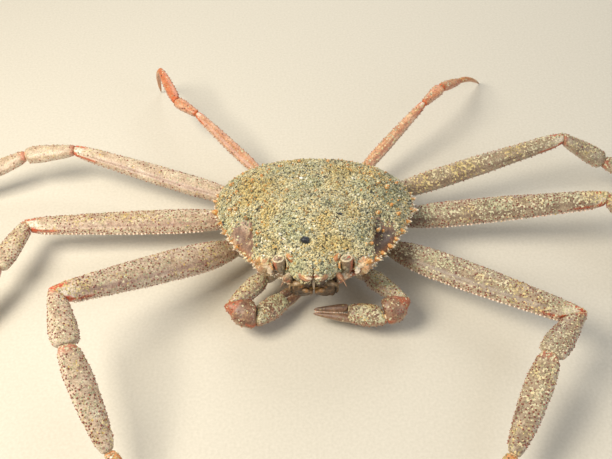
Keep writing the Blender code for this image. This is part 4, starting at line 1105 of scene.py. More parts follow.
# Eyes: a barrel-shaped stalk standing in its socket, with a raised cream rim round its top and a
# streaked cornea with a clear gloss bulging on its front. The stalk is a turned profile, the cornea
# a stretched ball that lies half inside it.
STALK = ((-3.3, 0.7), (-3.0, 1.2), (-2.2, 1.55), (-1.0, 1.85), (0.4, 2.12), (1.6, 2.3), (2.3, 2.34),
         (2.75, 2.28), (3.02, 2.12), (3.1, 1.92), (3.0, 1.76), (2.84, 1.6), (2.74, 1.2), (2.7, 0.5))
EYE_TILT = {"r": (-0.14, 0.02, 1.0), "l": (-0.10, 0.04, 1.0)}
CORNEA_AT, CORNEA_RADII = np.array([-0.45, -0.5, -0.4]), np.array([2.4, 1.75, 1.75])
CORNEA_MESH = 28, 36
stalk_chitin = shell_finish(
    "eye stalk chitin", ("#7A6450", "#9A8266", "#B8A284"), "#B24A2C", "#BE4A22", "#EADBB8",
    "#4E4032", 0.35)
cornea_look, tree, shader, place = new_look("cornea")
stretch = add_node(tree, "Mapping", {"Vector": place, "Scale": (1.0, 1.0, 0.3)})
_, iris = noise_colour(tree, stretch.outputs[0], 1300.0, 2.0,
                       [(0.3, "#3A3024"), (0.5, "#6A5C44"), (0.68, "#A09070")])
facets = add_node(tree, "TexVoronoi", {"Vector": place, "Scale": 9000.0})
pits = add_node(tree, "Bump", {"Height": facets.outputs["Distance"], "Strength": 0.12,
                               "Distance": 0.00004})
feed(shader, {"Base Color": iris, "Normal": pits.outputs[0], "Roughness": 0.22, "Coat Weight": 1.0,
              "Coat Roughness": 0.05})


def frame_along(aim, helper=(0.0, 0.0, 1.0)):
    """Three unit rows: the aim, a level direction across it, and the one square to both."""
    aim = unit(np.asarray(aim, float))
    across = unit(np.cross(np.asarray(helper, float), aim))
    return np.stack([aim, across, np.cross(aim, across)])


def turned(profile, centre, basis, around=40):
    """A profile of (height, radius) turned round the first row of the basis, as a closed grid."""
    up, wide = np.array(profile, float).T
    knots = np.arange(len(up))
    fine = np.linspace(0, len(up) - 1, 4 * len(up))
    up, wide = smooth_through(knots, up, fine), smooth_through(knots, wide, fine)
    turn = full_turn(around)
    local = np.stack([up[:, None] + 0 * turn, wide[:, None] * np.cos(turn),
                      wide[:, None] * np.sin(turn)], -1)
    return centre + local @ basis


for side, mirror in SIDES.items():
    centre = EYE_AT * mirror
    basis = frame_along(EYE_TILT[side], (0.0, 1.0, 0.0))
    points, quads, fans = close_tube(turned(STALK, centre, basis))
    local = (points - centre) @ basis.T
    high, across, ahead = local.T
    outer = step_between(0.5, 1.6, (points[:, 0] - centre[0]) * mirror[0])
    cap = step_between(1.85, 1.6, np.hypot(across, ahead)) * (high > 2.4)
    cap_rim = step_between(2.6, 2.9, high) * (1 - cap)
    streak = 0.7 + 0.3 * smooth_noise(local * np.array([0.3, 1.0, 1.0]), 0.5, 51)
    red_dot = 1.2 * np.exp(-((across - 0.5) ** 2 + (ahead - 0.8) ** 2) / 0.3) * (side == "l")
    values = {"pale": 0.85 * cap_rim, "sanded": 0.25 * cap,
              "warm": np.clip(outer * (1 - cap_rim) * (1 - cap) * streak
                              + cap * (0.12 + red_dot), 0, 1),
              "dusk": 0.35 * (1 - outer) * (1 - cap_rim) + 0.3 * cap}
    add_piece("eye_%s_stalk" % side, on_body(points), quads, fans, stalk_chitin, "eye",
              ["eye_" + side], values)
    cornea = ball(centre + CORNEA_AT * (mirror[0], 1, 1), basis, CORNEA_RADII, *CORNEA_MESH)
    closed_piece("eye_%s_cornea" % side, on_body(cornea), cornea_look, "eye")

# Sockets and front edge: round each eye a thin rolled rim, an amber corner tooth and a cup outside it
# and a lobe inside it, and the two blunt horns at the middle of the face. All are parts of the shell
# with a round section along a curve. A curve's rows are x, y, z on the left side and the radius.
RIM_TURNS = np.radians([-128, -100, -60, -20, 20, 60, 100, 128])
RIM_RADII = (0.2, 0.45, 0.42, 0.34, 0.34, 0.45, 0.5, 0.22)
HORN = [(0.5, -40.6, 0.2, 0.2), (1.0, -41.2, 0.5, 0.42), (2.3, -41.3, 0.8, 0.48),
        (3.7, -40.5, 1.0, 0.36), (4.4, -40.0, 1.0, 0.15)]
CORNER = [(15.6, -33.4, -0.4, 0.3), (17.0, -33.8, 0.3, 0.9), (18.8, -33.3, 0.9, 1.25),
          (20.3, -32.9, 1.6, 1.3), (21.3, -34.0, 2.6, 0.75), (21.7, -34.7, 3.3, 0.2)]
CUP = [(16.2, -33.0, 0.6, 0.5), (16.1, -34.2, -0.2, 1.15), (16.0, -34.8, -1.6, 1.05),
       (15.9, -34.6, -2.6, 0.4)]
LOBE = [(10.1, -31.6, 4.1, 0.5), (9.2, -32.8, 4.6, 0.95), (8.3, -34.0, 4.2, 1.05),
        (7.6, -35.2, 3.0, 0.4)]


def tube(course, mirror, around=20, flatten=1.0):
    """A round section carried along a smooth curve: rings square to it, their radii eased between."""
    course = np.asarray(course, float)
    knots = np.arange(len(course))
    fine = np.linspace(0, len(course) - 1, 8 * len(course))
    *line, wide = (smooth_through(knots, values, fine) for values in course.T)
    line = np.stack(line, -1) * mirror
    ahead = unit(np.gradient(line, axis=0))
    aside = unit(np.cross([0.0, 0.0, 1.0], ahead))
    turn, wide = full_turn(around), wide[:, None]
    return (line[:, None] + aside[:, None] * (wide * np.cos(turn))[..., None]
            + np.cross(ahead, aside)[:, None] * (flatten * wide * np.sin(turn))[..., None])


def tube_piece(name, grid, look, slot, nodes=(), **values):
    """A tube on the body; a value is a number or a function of the share along the tube."""
    share = np.linspace(0, 1, len(grid))[:, None]
    closed_piece(name, on_body(grid), look, slot, nodes,
                 {key: value(share) if callable(value) else value for key, value in values.items()})


cheek_chitin = shell_finish(
    "cheek chitin", ("#A98A68", "#C8AC86", "#DCC6A0"), "#8A4A34", "#9C4E30", "#F0E4CC", "#5A3E2A",
    0.4)
out = unit(SOCKET_OPENING)
outward = unit(np.array([1.0, 0.0, 0.0]) - out * out[0])
upward = np.cross(out, outward)
upward = upward if upward[2] > 0 else -upward
socket_rim = [(*(EYE_AT + 0.2 * out + SOCKET_RADIUS * (math.sin(t) * outward + math.cos(t) * upward)),
               radius) for t, radius in zip(RIM_TURNS, RIM_RADII)]
for side, mirror in SIDES.items():
    tube_piece("socket_rim_" + side, tube(socket_rim, mirror, 22), spine_chitin, "carapace_shell",
               warm=lambda s: 1.1 * step_between(0.35, 0.1, s) + 0.6 * step_between(0.6, 0.9, s),
               pale=lambda s: 0.5 * bell(s, 0.5, 0.2), sanded=0.45)
    tube_piece("rostrum_horn_" + side, tube(HORN, mirror, 22), spine_chitin, "carapace_shell",
               warm=lambda s: 0.7 * bell(s, 0.8, 0.2), pale=lambda s: 0.6 * step_between(0.7, 0.4, s),
               sanded=0.15)
    tube_piece("corner_tooth_" + side, tube(CORNER, mirror, 24, 0.9), spine_chitin, "carapace_shell",
               warm=lambda s: 0.7 * step_between(0.3, 0.6, s),
               pale=lambda s: 0.45 * step_between(0.5, 0.2, s) + 0.4 * step_between(0.85, 1.0, s),
               sanded=lambda s: 0.12 * step_between(0.9, 0.6, s))
    tube_piece("socket_cup_" + side, tube(CUP, mirror, 22, 0.5), cheek_chitin, "carapace_shell",
               pale=0.95 if side == "l" else 0.4, dusk=lambda s: 0.25 * bell(s, 0.5, 0.2))
    tube_piece("socket_lobe_" + side, tube(LOBE, mirror, 22, 0.85), spine_chitin, "carapace_shell",
               granule=lambda s: 0.8 * step_between(0.3, 0.5, s), warm=0.6,
               pale=lambda s: 0.6 * step_between(0.35, 0.15, s), sanded=0.2)

# Lower face: the strip of shell under the eyes and beside the mouth, a run of upright ovals from one
# cheek to the other. It is mottled cream, tan and red-brown, with cream beads, and darkened at the mouth
# as painted shade.
# Each row is x, the front's y and the upper and lower z, the same on both sides.
FACE_AT = ((0.0, -34.6, -1.6, -11.0), (3.5, -34.6, -1.8, -10.6), (6.5, -34.9, -2.0, -9.9),
           (8.6, -35.4, -2.2, -8.9), (10.6, -35.2, -2.3, -7.3), (12.8, -34.7, -2.3, -5.8),
           (15.5, -34.0, -2.0, -4.5), (18.5, -33.4, -1.2, -3.2), (21.2, -31.6, -0.8, -2.0),
           (22.4, -30.2, -0.9, -1.4))
FACE_DEPTH, FACE_FULLNESS = 2.6, 0.8
FACE_COLUMNS, FACE_AROUND, FACE_BEADS = 170, 56, 190
BEADS_FROM_X = 8.0


def outward_normals(grid):
    """Normals of a closed grid, turned over where most of them point to its middle."""
    normals = grid_normals(grid, True)
    return normals * np.sign((normals * (grid - grid.mean((0, 1)))).sum(-1).mean())


knots, *lines = np.array(FACE_AT).T
x = np.linspace(-knots[-1], knots[-1], FACE_COLUMNS)[:, None]
angle = full_turn(FACE_AROUND)[None, :]
c, s = np.cos(angle), np.sin(angle)
front_y, upper_z, lower_z = (smooth_through(knots, line, np.abs(x)) for line in lines)
grid = np.stack([x + 0 * c, front_y + FACE_DEPTH * (1 - rounded(c, FACE_FULLNESS)),
                 (upper_z + lower_z) / 2 + (upper_z - lower_z) / 2 * rounded(s, FACE_FULLNESS)], -1)
blots = smooth_noise(grid, 2.6, 61)
flecks = smooth_noise(grid, 1.1, 62)
lumps = round_bumps(grid, 1.3, 0.42, 63, 0.8)
facing = outward_normals(grid)
grid = grid + facing * (0.14 * lumps + 0.12 * blots)[..., None]
# The strip at the mouth is darkened fully: painted shade.
mouth = step_between(9.0, 7.0, np.abs(x))
lower_lip = bell(s, -0.75, 0.2) * (c > 0)
closed_piece("lower_face", on_body(grid), cheek_chitin, "carapace_shell", turned_over=True, values={
    "warm": 0.9 * step_between(0.05, 0.4, blots) * (1 - mouth), "granule": 0.3 * lumps,
    "pale": np.maximum(0.8 * step_between(-0.1, 0.35, flecks) * (blots < 0.15), 0.6 * lower_lip)
    * (1 - mouth),
    "dusk": mouth + 0.8 * step_between(-0.05, -0.45, blots + 0.4 * flecks)})
# The beads stand on random places of the lower front, on both cheeks.
cell = np.stack([np.arange(FACE_BEADS)] * 3, -1)
row = (8 + 154 * random_of(cell, 4)).astype(int)
column = (40 + 26 * random_of(cell, 5)).astype(int) % FACE_AROUND
pick = np.abs(x[row, 0]) > BEADS_FROM_X
roots, aims = grid[row, column][pick], facing[row, column][pick]
size = 0.3 + 0.5 * random_of(roots, 2) ** 2
body_studs("lower_face_beads", roots, aims, 0.6 * size, size, KNOB, 7, (0.35, -0.5), (-0.2, 0.6), 0.05)

# Antennae and antennules: two stout base joints and a ringed whip beside each eye, and between the
# horns the small folded antennules with pale tips, on both sides of a septum.
ANTENNA_ROOT, ANTENNA_BASE, ANTENNA_END = (8.9, -35.6, -1.9), (1.4, -2.8, 0.0), (3.0, -7.4, 0.2)
ANTENNA_RADII = (1.0, 1.1, 1.05, 0.9, 0.3, 0.22, 0.12)
ANTENNULE = [(1.9, -37.6, -2.6, 0.7), (2.6, -39.0, -3.4, 0.68), (3.6, -39.4, -4.4, 0.5),
             (4.6, -38.8, -5.4, 0.42), (5.3, -38.0, -6.4, 0.22)]
SEPTUM = [(0.0, -39.2, -0.6, 0.5), (0.0, -39.6, -2.0, 0.62), (0.0, -39.2, -4.4, 0.5),
          (0.0, -38.4, -6.6, 0.3)]
# The mouthparts' chitin is dark amber, darkened further as painted shade.
mouth_chitin = shell_finish(
    "mouthpart chitin", ("#38260F", "#523818", "#795526"), "#241608", "#9A6426", "#CDAE80",
    "#20140A", 0.42)
root = np.array(ANTENNA_ROOT)
knee, tip = root + ANTENNA_BASE, root + ANTENNA_END
antenna = np.stack([root - 0.8 * (knee - root), root, root + 0.55 * (knee - root), knee,
                    knee + 0.12 * (tip - knee), knee + 0.5 * (tip - knee) + (0, 0, 0.25), tip])
antenna = np.column_stack([antenna, ANTENNA_RADII])
for side, mirror in SIDES.items():
    grid = tube(antenna, mirror)
    rings = 1 + 0.10 * np.sin(np.arange(len(grid)) * 2.6)
    middle = grid.mean(1, keepdims=True)
    grid = middle + (grid - middle) * rings[:, None, None]
    base_pale, base_warm = (0.75, 0.0) if side == "r" else (0.1, 0.6)
    tube_piece("antenna_%s_joints" % side, grid, cheek_chitin, "mouth_shell", ["antenna_" + side],
               pale=lambda s: base_pale * step_between(0.45, 0.2, s),
               warm=lambda s: np.where(s > 0.5, 0.35, base_warm),
               dusk=lambda s: 0.3 + 0.4 * (np.sin(s * 60) > 0.3) * (s > 0.5))
    tube_piece("antennule_" + side, tube(ANTENNULE, mirror, 16), mouth_chitin, "mouth_shell",
               warm=lambda s: step_between(0.5, 0.75, s) * (s < 0.9),
               pale=lambda s: step_between(0.84, 0.95, s))
tube_piece("septum", tube(SEPTUM, 1.0, 16, 0.8), cheek_chitin, "mouth_shell",
           pale=lambda s: 0.5 - 0.3 * s)

# Mouth: a pair of third maxillipeds that close it like doors. Each is a leaning plate with a cross
# groove, a narrow outer branch, a jointed feeler folded on its inner edge and a fringe of bristles.
# A ball behind each of them fills the mouth, wholly darkened as painted shade.
MAXILLIPED_AT, MAXILLIPED_SIZE = np.array([4.8, -34.2, -9.5]), np.array([4.65, 2.6, 6.9])
MAXILLIPED_LEAN, PLATE_FULLNESS = math.radians(36), np.array([0.72, 0.9, 0.72])
PLATE_MESH, JAW_MESH = (104, 120), (20, 28)
PALP = [(-0.9, -1.7, 4.6, 0.3), (-1.3, -2.3, 5.2, 0.72), (-2.2, -2.5, 5.2, 0.85),
        (-3.0, -2.3, 4.5, 0.62), (-3.3, -2.2, 3.9, 0.5), (-3.7, -2.2, 2.8, 0.72),
        (-3.9, -2.0, 1.6, 0.6), (-3.95, -1.9, 1.1, 0.4), (-4.0, -1.9, 0.2, 0.5),
        (-4.0, -1.6, -1.2, 0.16)]
JAW_AT, JAW_RADII = (3.0, -32.0, -8.4), np.array([4.2, 2.6, 5.2])
BRISTLES, BRISTLE_WIDTH, BRISTLE_LENGTH = 110, 0.14, 0.6
FRINGE_X, FRINGE_TOP, FRINGE_HEIGHT = -4.0, 5.4, 10.4
lean = np.array([[1.0, 0.0, 0.0], [0.0, math.cos(MAXILLIPED_LEAN), -math.sin(MAXILLIPED_LEAN)],
                 [0.0, math.sin(MAXILLIPED_LEAN), math.cos(MAXILLIPED_LEAN)]])
bristle = mottled("bristles of chitin", 800.0, 2.0, [(0.35, "#6A4A26"), (0.65, "#C49A5A")],
                  {"Roughness": 0.4})
palp = np.array(PALP)
palp[:, :3] = palp[:, :3] @ lean.T + MAXILLIPED_AT
for side, mirror in SIDES.items():
    upright = np.array([[0.0, 0.0, 1.0], [1.0, 0.0, 0.0], [0.0, 1.0, 0.0]])
    grid = rounded(ball(np.zeros(3), upright, np.ones(3), *PLATE_MESH), PLATE_FULLNESS)
    outline = (np.abs(grid) ** 3)[..., [0, 2]].sum(-1)
    grid = grid * MAXILLIPED_SIZE
    x, y, z = np.moveaxis(grid * mirror, -1, 0)
    cross_groove = bell(z + 0.22 * x, 1.6, 0.32)
    long_groove = bell(x - 0.06 * z, 1.3, 0.4) * step_between(2.5, -1.0, z)
    branch_groove = bell(x, 3.3, 0.24)
    sunk = (0.6 * cross_groove + 0.35 * long_groove + 0.95 * branch_groove) / MAXILLIPED_SIZE[1]
    grid = grid * (1 - sunk[..., None] * np.array([0.0, 1.0, 0.0]))
    streaks = smooth_noise(grid * np.array([1.0, 1.0, 0.25]), 0.7, 4)
    pits = round_bumps(grid, 0.95, 0.55, 5, 0.9)
    grid[..., 1] -= 0.16 * pits
    closed_piece("maxilliped_%s_plate" % side, on_body(grid @ lean.T + MAXILLIPED_AT * mirror),
                 mouth_chitin, "mouth_shell", ["maxilliped_" + side], {
        "dusk": 0.8 * np.clip(cross_groove + branch_groove, 0, 1), "granule": 0.3 * (1 - pits),
        "pale": (0.5 * step_between(0.75, 0.95, outline) + 0.35 * step_between(0.1, 0.8, streaks)
                 + 0.9 * step_between(-5.4, -6.2, z)),
        "warm": 0.35 * step_between(0.0, 0.8, streaks)})
    tube_piece("maxilliped_%s_feeler" % side, tube(palp, mirror, 18), mouth_chitin, "mouth_shell",
               warm=lambda s: 0.45 + 0.3 * np.sin(s * 40),
               dusk=lambda s: 0.7 * (bell(s, 0.44, 0.03) + bell(s, 0.78, 0.03)),
               pale=lambda s: 0.22 + 0.5 * step_between(0.9, 1.0, s))
    # The ball behind the plate is fully darkened: painted shade in the mouth.
    closed_piece("jaw_" + side, on_body(ball(JAW_AT * mirror, np.eye(3), JAW_RADII, *JAW_MESH)),
                 mouth_chitin, "mouth_shell", values={"dusk": 1.0})
    low = np.arange(BRISTLES) / (BRISTLES - 1)
    wobble = random_of(np.stack([low * 97, low * 13, low * 0 + 2], -1), 3)
    roots = np.stack([FRINGE_X + 0.9 * wobble, -1.0 - 0.6 * wobble,
                      FRINGE_TOP - FRINGE_HEIGHT * low], -1)
    aims = np.stack([-0.8 + 0.9 * (wobble - 0.5), -0.5 + 0 * low, -0.4 - 0.3 * low], -1)
    roots, aims = (roots @ lean.T + MAXILLIPED_AT) * mirror, (aims @ lean.T) * mirror
    points, quads, fans, _ = studs(roots, aims, BRISTLE_LENGTH + 0.7 * wobble, BRISTLE_WIDTH,
                                  SPINE, 5)
    add_piece("maxilliped_%s_bristles" % side, on_body(points), quads, fans, bristle, "mouth_shell")

# Breast plate: a pale oval dish under the body, with a groove between each pair of legs and a gutter
# beside the tail flap, which lies folded on it. Its depth follows the carapace's wall.
STERNUM_SIZE, STERNUM_FRONT_TAPER, STERNUM_Y, STERNUM_DEPTH = (19.0, 26.0), 0.42, 4.0, 9.0
STERNUM_RINGS, STERNUM_AROUND, BREAST_GRANULES = 120, 220, 700
SEAMS_AT, SEAM_BEND, SEAM_WIDTH, GUTTER_WIDTH = (-13.0, -6.5, 0.5, 7.5, 14.5, 21.0), 0.010, 0.42, 0.5
ABDOMEN_FRONT, ABDOMEN_REAR, ABDOMEN_HALF_WIDTH, ABDOMEN_THICKNESS = -5.0, 35.0, 8.5, 2.4
belly_chitin = shell_finish(
    "belly chitin", ("#CDB291", "#E2CCAE", "#F0E1C9"), "#B4785A", "#D08A5E", "#F8EEDC", "#A98868",
    0.34)


def flap_half_width(share):
    """Half the tail flap's width at a share of the way from its tip to its root."""
    return ABDOMEN_HALF_WIDTH * (0.3 + 0.7 * share ** 0.8)


polar = np.linspace(0, math.pi, STERNUM_RINGS + 2)[1:-1, None]
turn = full_turn(STERNUM_AROUND)[None, :]
lower = polar / math.pi + 0 * turn
wide = np.minimum(1.0, 1.15 * np.sin(polar))
taper = 1 - STERNUM_FRONT_TAPER * np.clip(-np.sin(turn), 0.0, None) ** 1.6
x = STERNUM_SIZE[0] * wide * np.cos(turn) * taper
y = STERNUM_Y + STERNUM_SIZE[1] * wide * np.sin(turn)
z = (-wall_depth(y) - 2 * GAP_HALF
     - STERNUM_DEPTH * np.clip((lower - 0.25) / 0.75, 0.0, 1.0) ** 0.8)
seams = np.max([bell(y - SEAM_BEND * x * x, seam, SEAM_WIDTH) for seam in SEAMS_AT], axis=0)
seams = seams * step_between(3.5, 6.5, np.abs(x))
beside = flap_half_width(np.clip((y - ABDOMEN_FRONT) / (ABDOMEN_REAR - ABDOMEN_FRONT), 0, 1))
gutter = bell(np.abs(x) - beside, 0.5, GUTTER_WIDTH) * step_between(-7.0, -4.0, y)
seams = np.maximum(seams, gutter) * step_between(0.45, 0.6, lower)
dish = np.stack([x, y, z], -1)
grain = smooth_noise(dish, 2.2, 6)
dish[..., 2] += 0.9 * seams + 0.06 * grain
sternum = on_body(dish)
sternum[..., 2] = np.maximum(sternum[..., 2], 0.0) + 0.35 * seams
facing = outward_normals(sternum)
cell = np.stack([np.arange(BREAST_GRANULES)] * 3, -1)
seat = (random_of(cell, 11) * 60 + 56).astype(int)
column = (random_of(cell, 12) * STERNUM_AROUND).astype(int)
kept = (seams[seat, column] < 0.3) & (np.abs(x[seat, column]) > beside[seat, column] + 1.0)
roots, aims = sternum[seat, column][kept], facing[seat, column][kept]
size = 0.35 + 0.35 * random_of(roots, 2)
stud_piece("breast_granules", studs(roots, aims, 0.45 * size, size, KNOB, 6), belly_chitin,
           "underside_shell", (0.9, -0.2), (0.4, 1.0))
closed_piece("breast_plate", sternum, belly_chitin, "underside_shell", ["sternum"], {
    "dusk": 0.9 * seams, "granule": 0.4 * round_bumps(dish, 2.2, 0.5, 9, 0.4),
    "warm": 0.25 * step_between(0.1, 0.8, grain) + 0.35 * step_between(14.0, 19.0, np.abs(x)),
    "pale": 0.4 * step_between(0.0, -0.7, grain)}, turned_over=True)

# Tail flap: the male's narrow flap of seven rings, folded forward along the middle of the breast
# plate, pale with a warm middle and pits. Its section is a rounded oblong, narrowed at each notch.
FLAP_ROWS, FLAP_AROUND, FLAP_FULLNESS = 150, 72, 0.7
FLAP_RISE, RISE_FROM, FLAP_NARROWING, NARROWING_FROM = 5.4, 0.72, 0.25, 0.8
NOTCHES, NOTCH_WIDTH = np.array([0.12, 0.25, 0.38, 0.51, 0.64, 0.78]), 0.009
share = np.linspace(0, 1, FLAP_ROWS)[:, None]
angle = full_turn(FLAP_AROUND)[None, :]
c, s = np.cos(angle), np.sin(angle)
narrow = FLAP_NARROWING * np.clip(share - NARROWING_FROM, 0.0, None) / (1 - NARROWING_FROM)
half = flap_half_width(share) * (1 - narrow)
notch = bell(share[..., None], NOTCHES, NOTCH_WIDTH).max(-1)
x = rounded(c, FLAP_FULLNESS) * half * (1 - 0.035 * notch)
y = ABDOMEN_FRONT + (ABDOMEN_REAR - ABDOMEN_FRONT) * share + 0 * angle
crown = (-wall_depth(y) - 2 * GAP_HALF - STERNUM_DEPTH + 1.0
         + FLAP_RISE * np.clip(share - RISE_FROM, 0.0, None) / (1 - RISE_FROM))
z = (crown - ABDOMEN_THICKNESS / 2
     + rounded(s, FLAP_FULLNESS) * (ABDOMEN_THICKNESS / 2 + 0.4) * (1 - 0.22 * notch))
flap = on_body(np.stack([x, y, z], -1))
pits = round_bumps(flap, 1.1, 0.34, 15, 0.7)
flap[..., 2] = np.maximum(flap[..., 2] - 0.12 * pits * (s < 0), 0.0) + 0.3 * notch * (s < 0)
closed_piece("tail_flap", flap, belly_chitin, "underside_shell", ["abdomen"], {
    "dusk": 0.85 * notch, "warm": 0.5 * bell(x, 0.0, 2.6), "granule": 0.7 * pits,
    "pale": 0.6 * step_between(0.6, 1.0, np.abs(c))}, turned_over=True)

# Tail root: the first two rings of the tail, behind the body, from under the shell's rear edge round
# to the flap. Its section follows a curve down the middle: an arch outside, a deep block inside.
# Each row is the share of the way, y, z and half the width.
TAIL_COURSE = [(0.0, 33.6, -1.6, 8.0), (0.25, 36.4, -2.6, 9.6), (0.5, 37.6, -6.4, 9.8),
               (0.75, 36.8, -10.6, 9.0), (1.0, 34.0, -13.6, 7.4)]
TAIL_ROWS, TAIL_AROUND, TAIL_INNER_DEPTH = 100, 80, 5.0
knots, *lines = np.array(TAIL_COURSE).T
share = np.linspace(0, 1, TAIL_ROWS)[:, None]
angle = full_turn(TAIL_AROUND)[None, :]
c, s = np.cos(angle), np.sin(angle)
y, z, half = (smooth_through(knots, line, share) for line in lines)
step_y, step_z = np.gradient(y, axis=0), np.gradient(z, axis=0)
run = np.hypot(step_y, step_z)
bulge = np.abs(np.sin(math.pi * (share - 0.17) / 0.33)) ** 0.5
tapered = np.sqrt(np.clip(1 - (2 * share - 1) ** 8, 0.05, 1.0))
offset = s * np.where(s > 0, 0.75 + 0.85 * bulge, TAIL_INNER_DEPTH) * tapered
x = rounded(c, np.where(s > 0, 1.0, 0.35)) * half * (0.9 + 0.1 * bulge)
grid = np.stack([x, y - step_z / run * offset, z + step_y / run * offset], -1)
pits = round_bumps(grid, 1.0, 0.34, 5, 0.6)
grid = grid + 0.1 * (pits * np.sign(s))[..., None] * np.array([0.0, 1.0, 0.3])
closed_piece("tail_root", on_body(grid), belly_chitin, "underside_shell", turned_over=True, values={
    "dusk": 0.8 * step_between(0.35, 0.0, bulge), "granule": 0.6 * pits,
    "warm": 0.5 * step_between(0.7, 0.2, share), "pale": 0.5 * step_between(0.6, 1.0, np.abs(c)),
    "sanded": 0.5 * step_between(0.45, 0.1, share)})

# Sand: loose grains that cling to the back and the upper sides of the limbs. Each grain is a ball of
# twenty facets stretched and dented at random, sunk a third into the skin that it lies on.
PHI = (1 + math.sqrt(5)) / 2
corner = np.array([(0, a, b * PHI) for a in (-1, 1) for b in (-1, 1)], float)
corner = np.concatenate([np.roll(corner, k, axis=1) for k in range(3)])
triples = [(i, j, k) for i in range(12) for j in range(i) for k in range(j)
           if max(np.linalg.norm(corner[i] - corner[j]), np.linalg.norm(corner[j] - corner[k]),
                  np.linalg.norm(corner[i] - corner[k])) < 2.1]
GRAIN_FACES = np.array([t if np.linalg.det(corner[list(t)]) > 0 else t[::-1] for t in triples])
GRAIN_CORNERS = unit(corner)

sand_look, tree, shader, place = new_look("sand of quartz, rock and shell bits")
tone = add_node(tree, "Attribute", attribute_name="tone").outputs["Fac"]
grain_colour = add_node(tree, "ValToRGB", {"Fac": tone}, stops=SAND_TONES, constant=True)
_, drift = noise_colour(tree, place, DRIFTS, 3.0, DRIFT_TONES)
veins, vein_tint = noise_colour(tree, place, 3200.0, 2.0, [(0.35, "#B8B0A0"), (0.6, "#FFFFFF")])
drifted = multiplied(tree, 0.85, grain_colour.outputs["Color"], drift)
pitting = add_node(tree, "Bump", {"Height": veins, "Strength": 0.4, "Distance": 0.00008})
feed(shader, {"Base Color": multiplied(tree, 0.7, drifted, vein_tint), "Normal": pitting.outputs[0],
              "Roughness": 0.52, "IOR": 1.544})
PATCH, MAP_WIDTH, SKIRT_RINGS = 0.003, 90.0, 12
dice = np.random.default_rng(7)


def grain_piece(name, seats, count, smallest, largest, slot, tone_from=0.0, tone_to=1.0):
    """Grains on randomly chosen points of some skins, by area and amount of sand, as one mesh.

    A seat is a skin's points, normals, amount of sand and places on a map. The grains' own map has a
    small patch for each at its root's place.
    """
    roots, facing, chance, maps = [], [], [], []
    for points, normals, amount, spots in seats:
        step = np.linalg.norm(np.cross(np.gradient(points, axis=0), np.gradient(points, axis=1)),
                              axis=-1)
        roots.append(points.reshape(-1, 3))
        facing.append(normals.reshape(-1, 3))
        chance.append((step * amount).ravel())
        maps.append(spots.reshape(-1, 2))
    roots, facing, chance, maps = (np.concatenate(part) for part in (roots, facing, chance, maps))
    chosen = dice.choice(len(roots), count, p=chance / chance.sum())
    size = smallest * (largest / smallest) ** (dice.random(count) ** 1.5)
    shape = size[:, None, None] * (1 + 0.42 * (dice.random((count, 12, 1)) - 0.5))
    stretch = 1 + 0.6 * (dice.random((count, 1, 3)) - 0.5)
    spin, _ = np.linalg.qr(dice.standard_normal((count, 3, 3)))
    spin = spin * np.sign(np.linalg.det(spin))[:, None, None]
    body = np.einsum("nij,nkj->nki", spin, GRAIN_CORNERS[None] * shape * stretch)
    normal = facing[chosen]
    slip = dice.standard_normal((count, 3)) * 0.2
    slip = slip - normal * np.sum(slip * normal, -1, keepdims=True)
    centre = roots[chosen] + slip + normal * (0.25 * size)[:, None]
    points = (centre[:, None] + body).reshape(-1, 3)
    points[:, 2] = np.maximum(points[:, 2], 0.0)
    faces = (GRAIN_FACES[None] + 12 * np.arange(count)[:, None, None]).reshape(-1, 3)
    tones = np.repeat(tone_from + (tone_to - tone_from) * dice.random(count), 12)
    piece = add_piece(name, points, [], faces, sand_look, slot, values={"tone": tones}, sharp=30)
    around = (GRAIN_CORNERS[:, :2] * PATCH / 2)[None] + maps[chosen][:, None]
    layout = piece.data.uv_layers.new(name="OFBake")
    layout.data.foreach_set("uv", around.reshape(-1, 2)[faces.ravel()].astype(np.float32).ravel())


# The shell's top and the upper rings of its wall. Their map is a view from above, spread at the wall.
wall_rings = slice(base, base + SKIRT_RINGS * len(rim))
top_world = on_body(open_sockets(top.reshape(-1, 3))).reshape(top.shape)
top_sand = sanded[:base].reshape(reach.shape) ** 1.5 * (reach < 0.992)
skirt = shell_points[wall_rings].reshape(SKIRT_RINGS, len(rim), 3)
spread = (1 + 0.004 * np.arange(1, SKIRT_RINGS + 1))[:, None, None]
skirt_world = on_body(skirt)
back_seats = [
    (top_world, grid_normals(top_world), top_sand, top[..., :2] / MAP_WIDTH + 0.5),
    (skirt_world, outward_normals(skirt_world), sanded[wall_rings].reshape(SKIRT_RINGS, -1) ** 1.5,
     skirt[..., :2] * spread / MAP_WIDTH + 0.5)]
for size, count, smallest, largest in (
        ("fine", 9000, 0.17, 0.30), ("medium", 8000, 0.26, 0.42), ("coarse", 1500, 0.40, 0.62)):
    grain_piece("carapace_sand_" + size, back_seats, count, smallest, largest, "carapace_shell")
LIMB_GRAINS, MAP_COLUMNS, MAP_ROWS = 5200, 6, 5
for side, name in (("r", "right"), ("l", "left")):
    skins = [skin for label, skin in limb_skins.items() if "_%s_" % side in label]
    seats = []
    for k, (points, normals, _, _, amount) in enumerate(skins):
        down, round_it = np.meshgrid(np.linspace(0.02, 0.98, points.shape[0]),
                                     np.linspace(0.02, 0.98, points.shape[1]), indexing="ij")
        seats.append((points, normals, amount, np.stack(
            [(k % MAP_COLUMNS + round_it) / MAP_COLUMNS, (k // MAP_COLUMNS + down) / MAP_ROWS], -1)))
    grain_piece("limb_sand_" + name, seats, LIMB_GRAINS, 0.13, 0.27, "limb_shell", 0.15, 0.9)

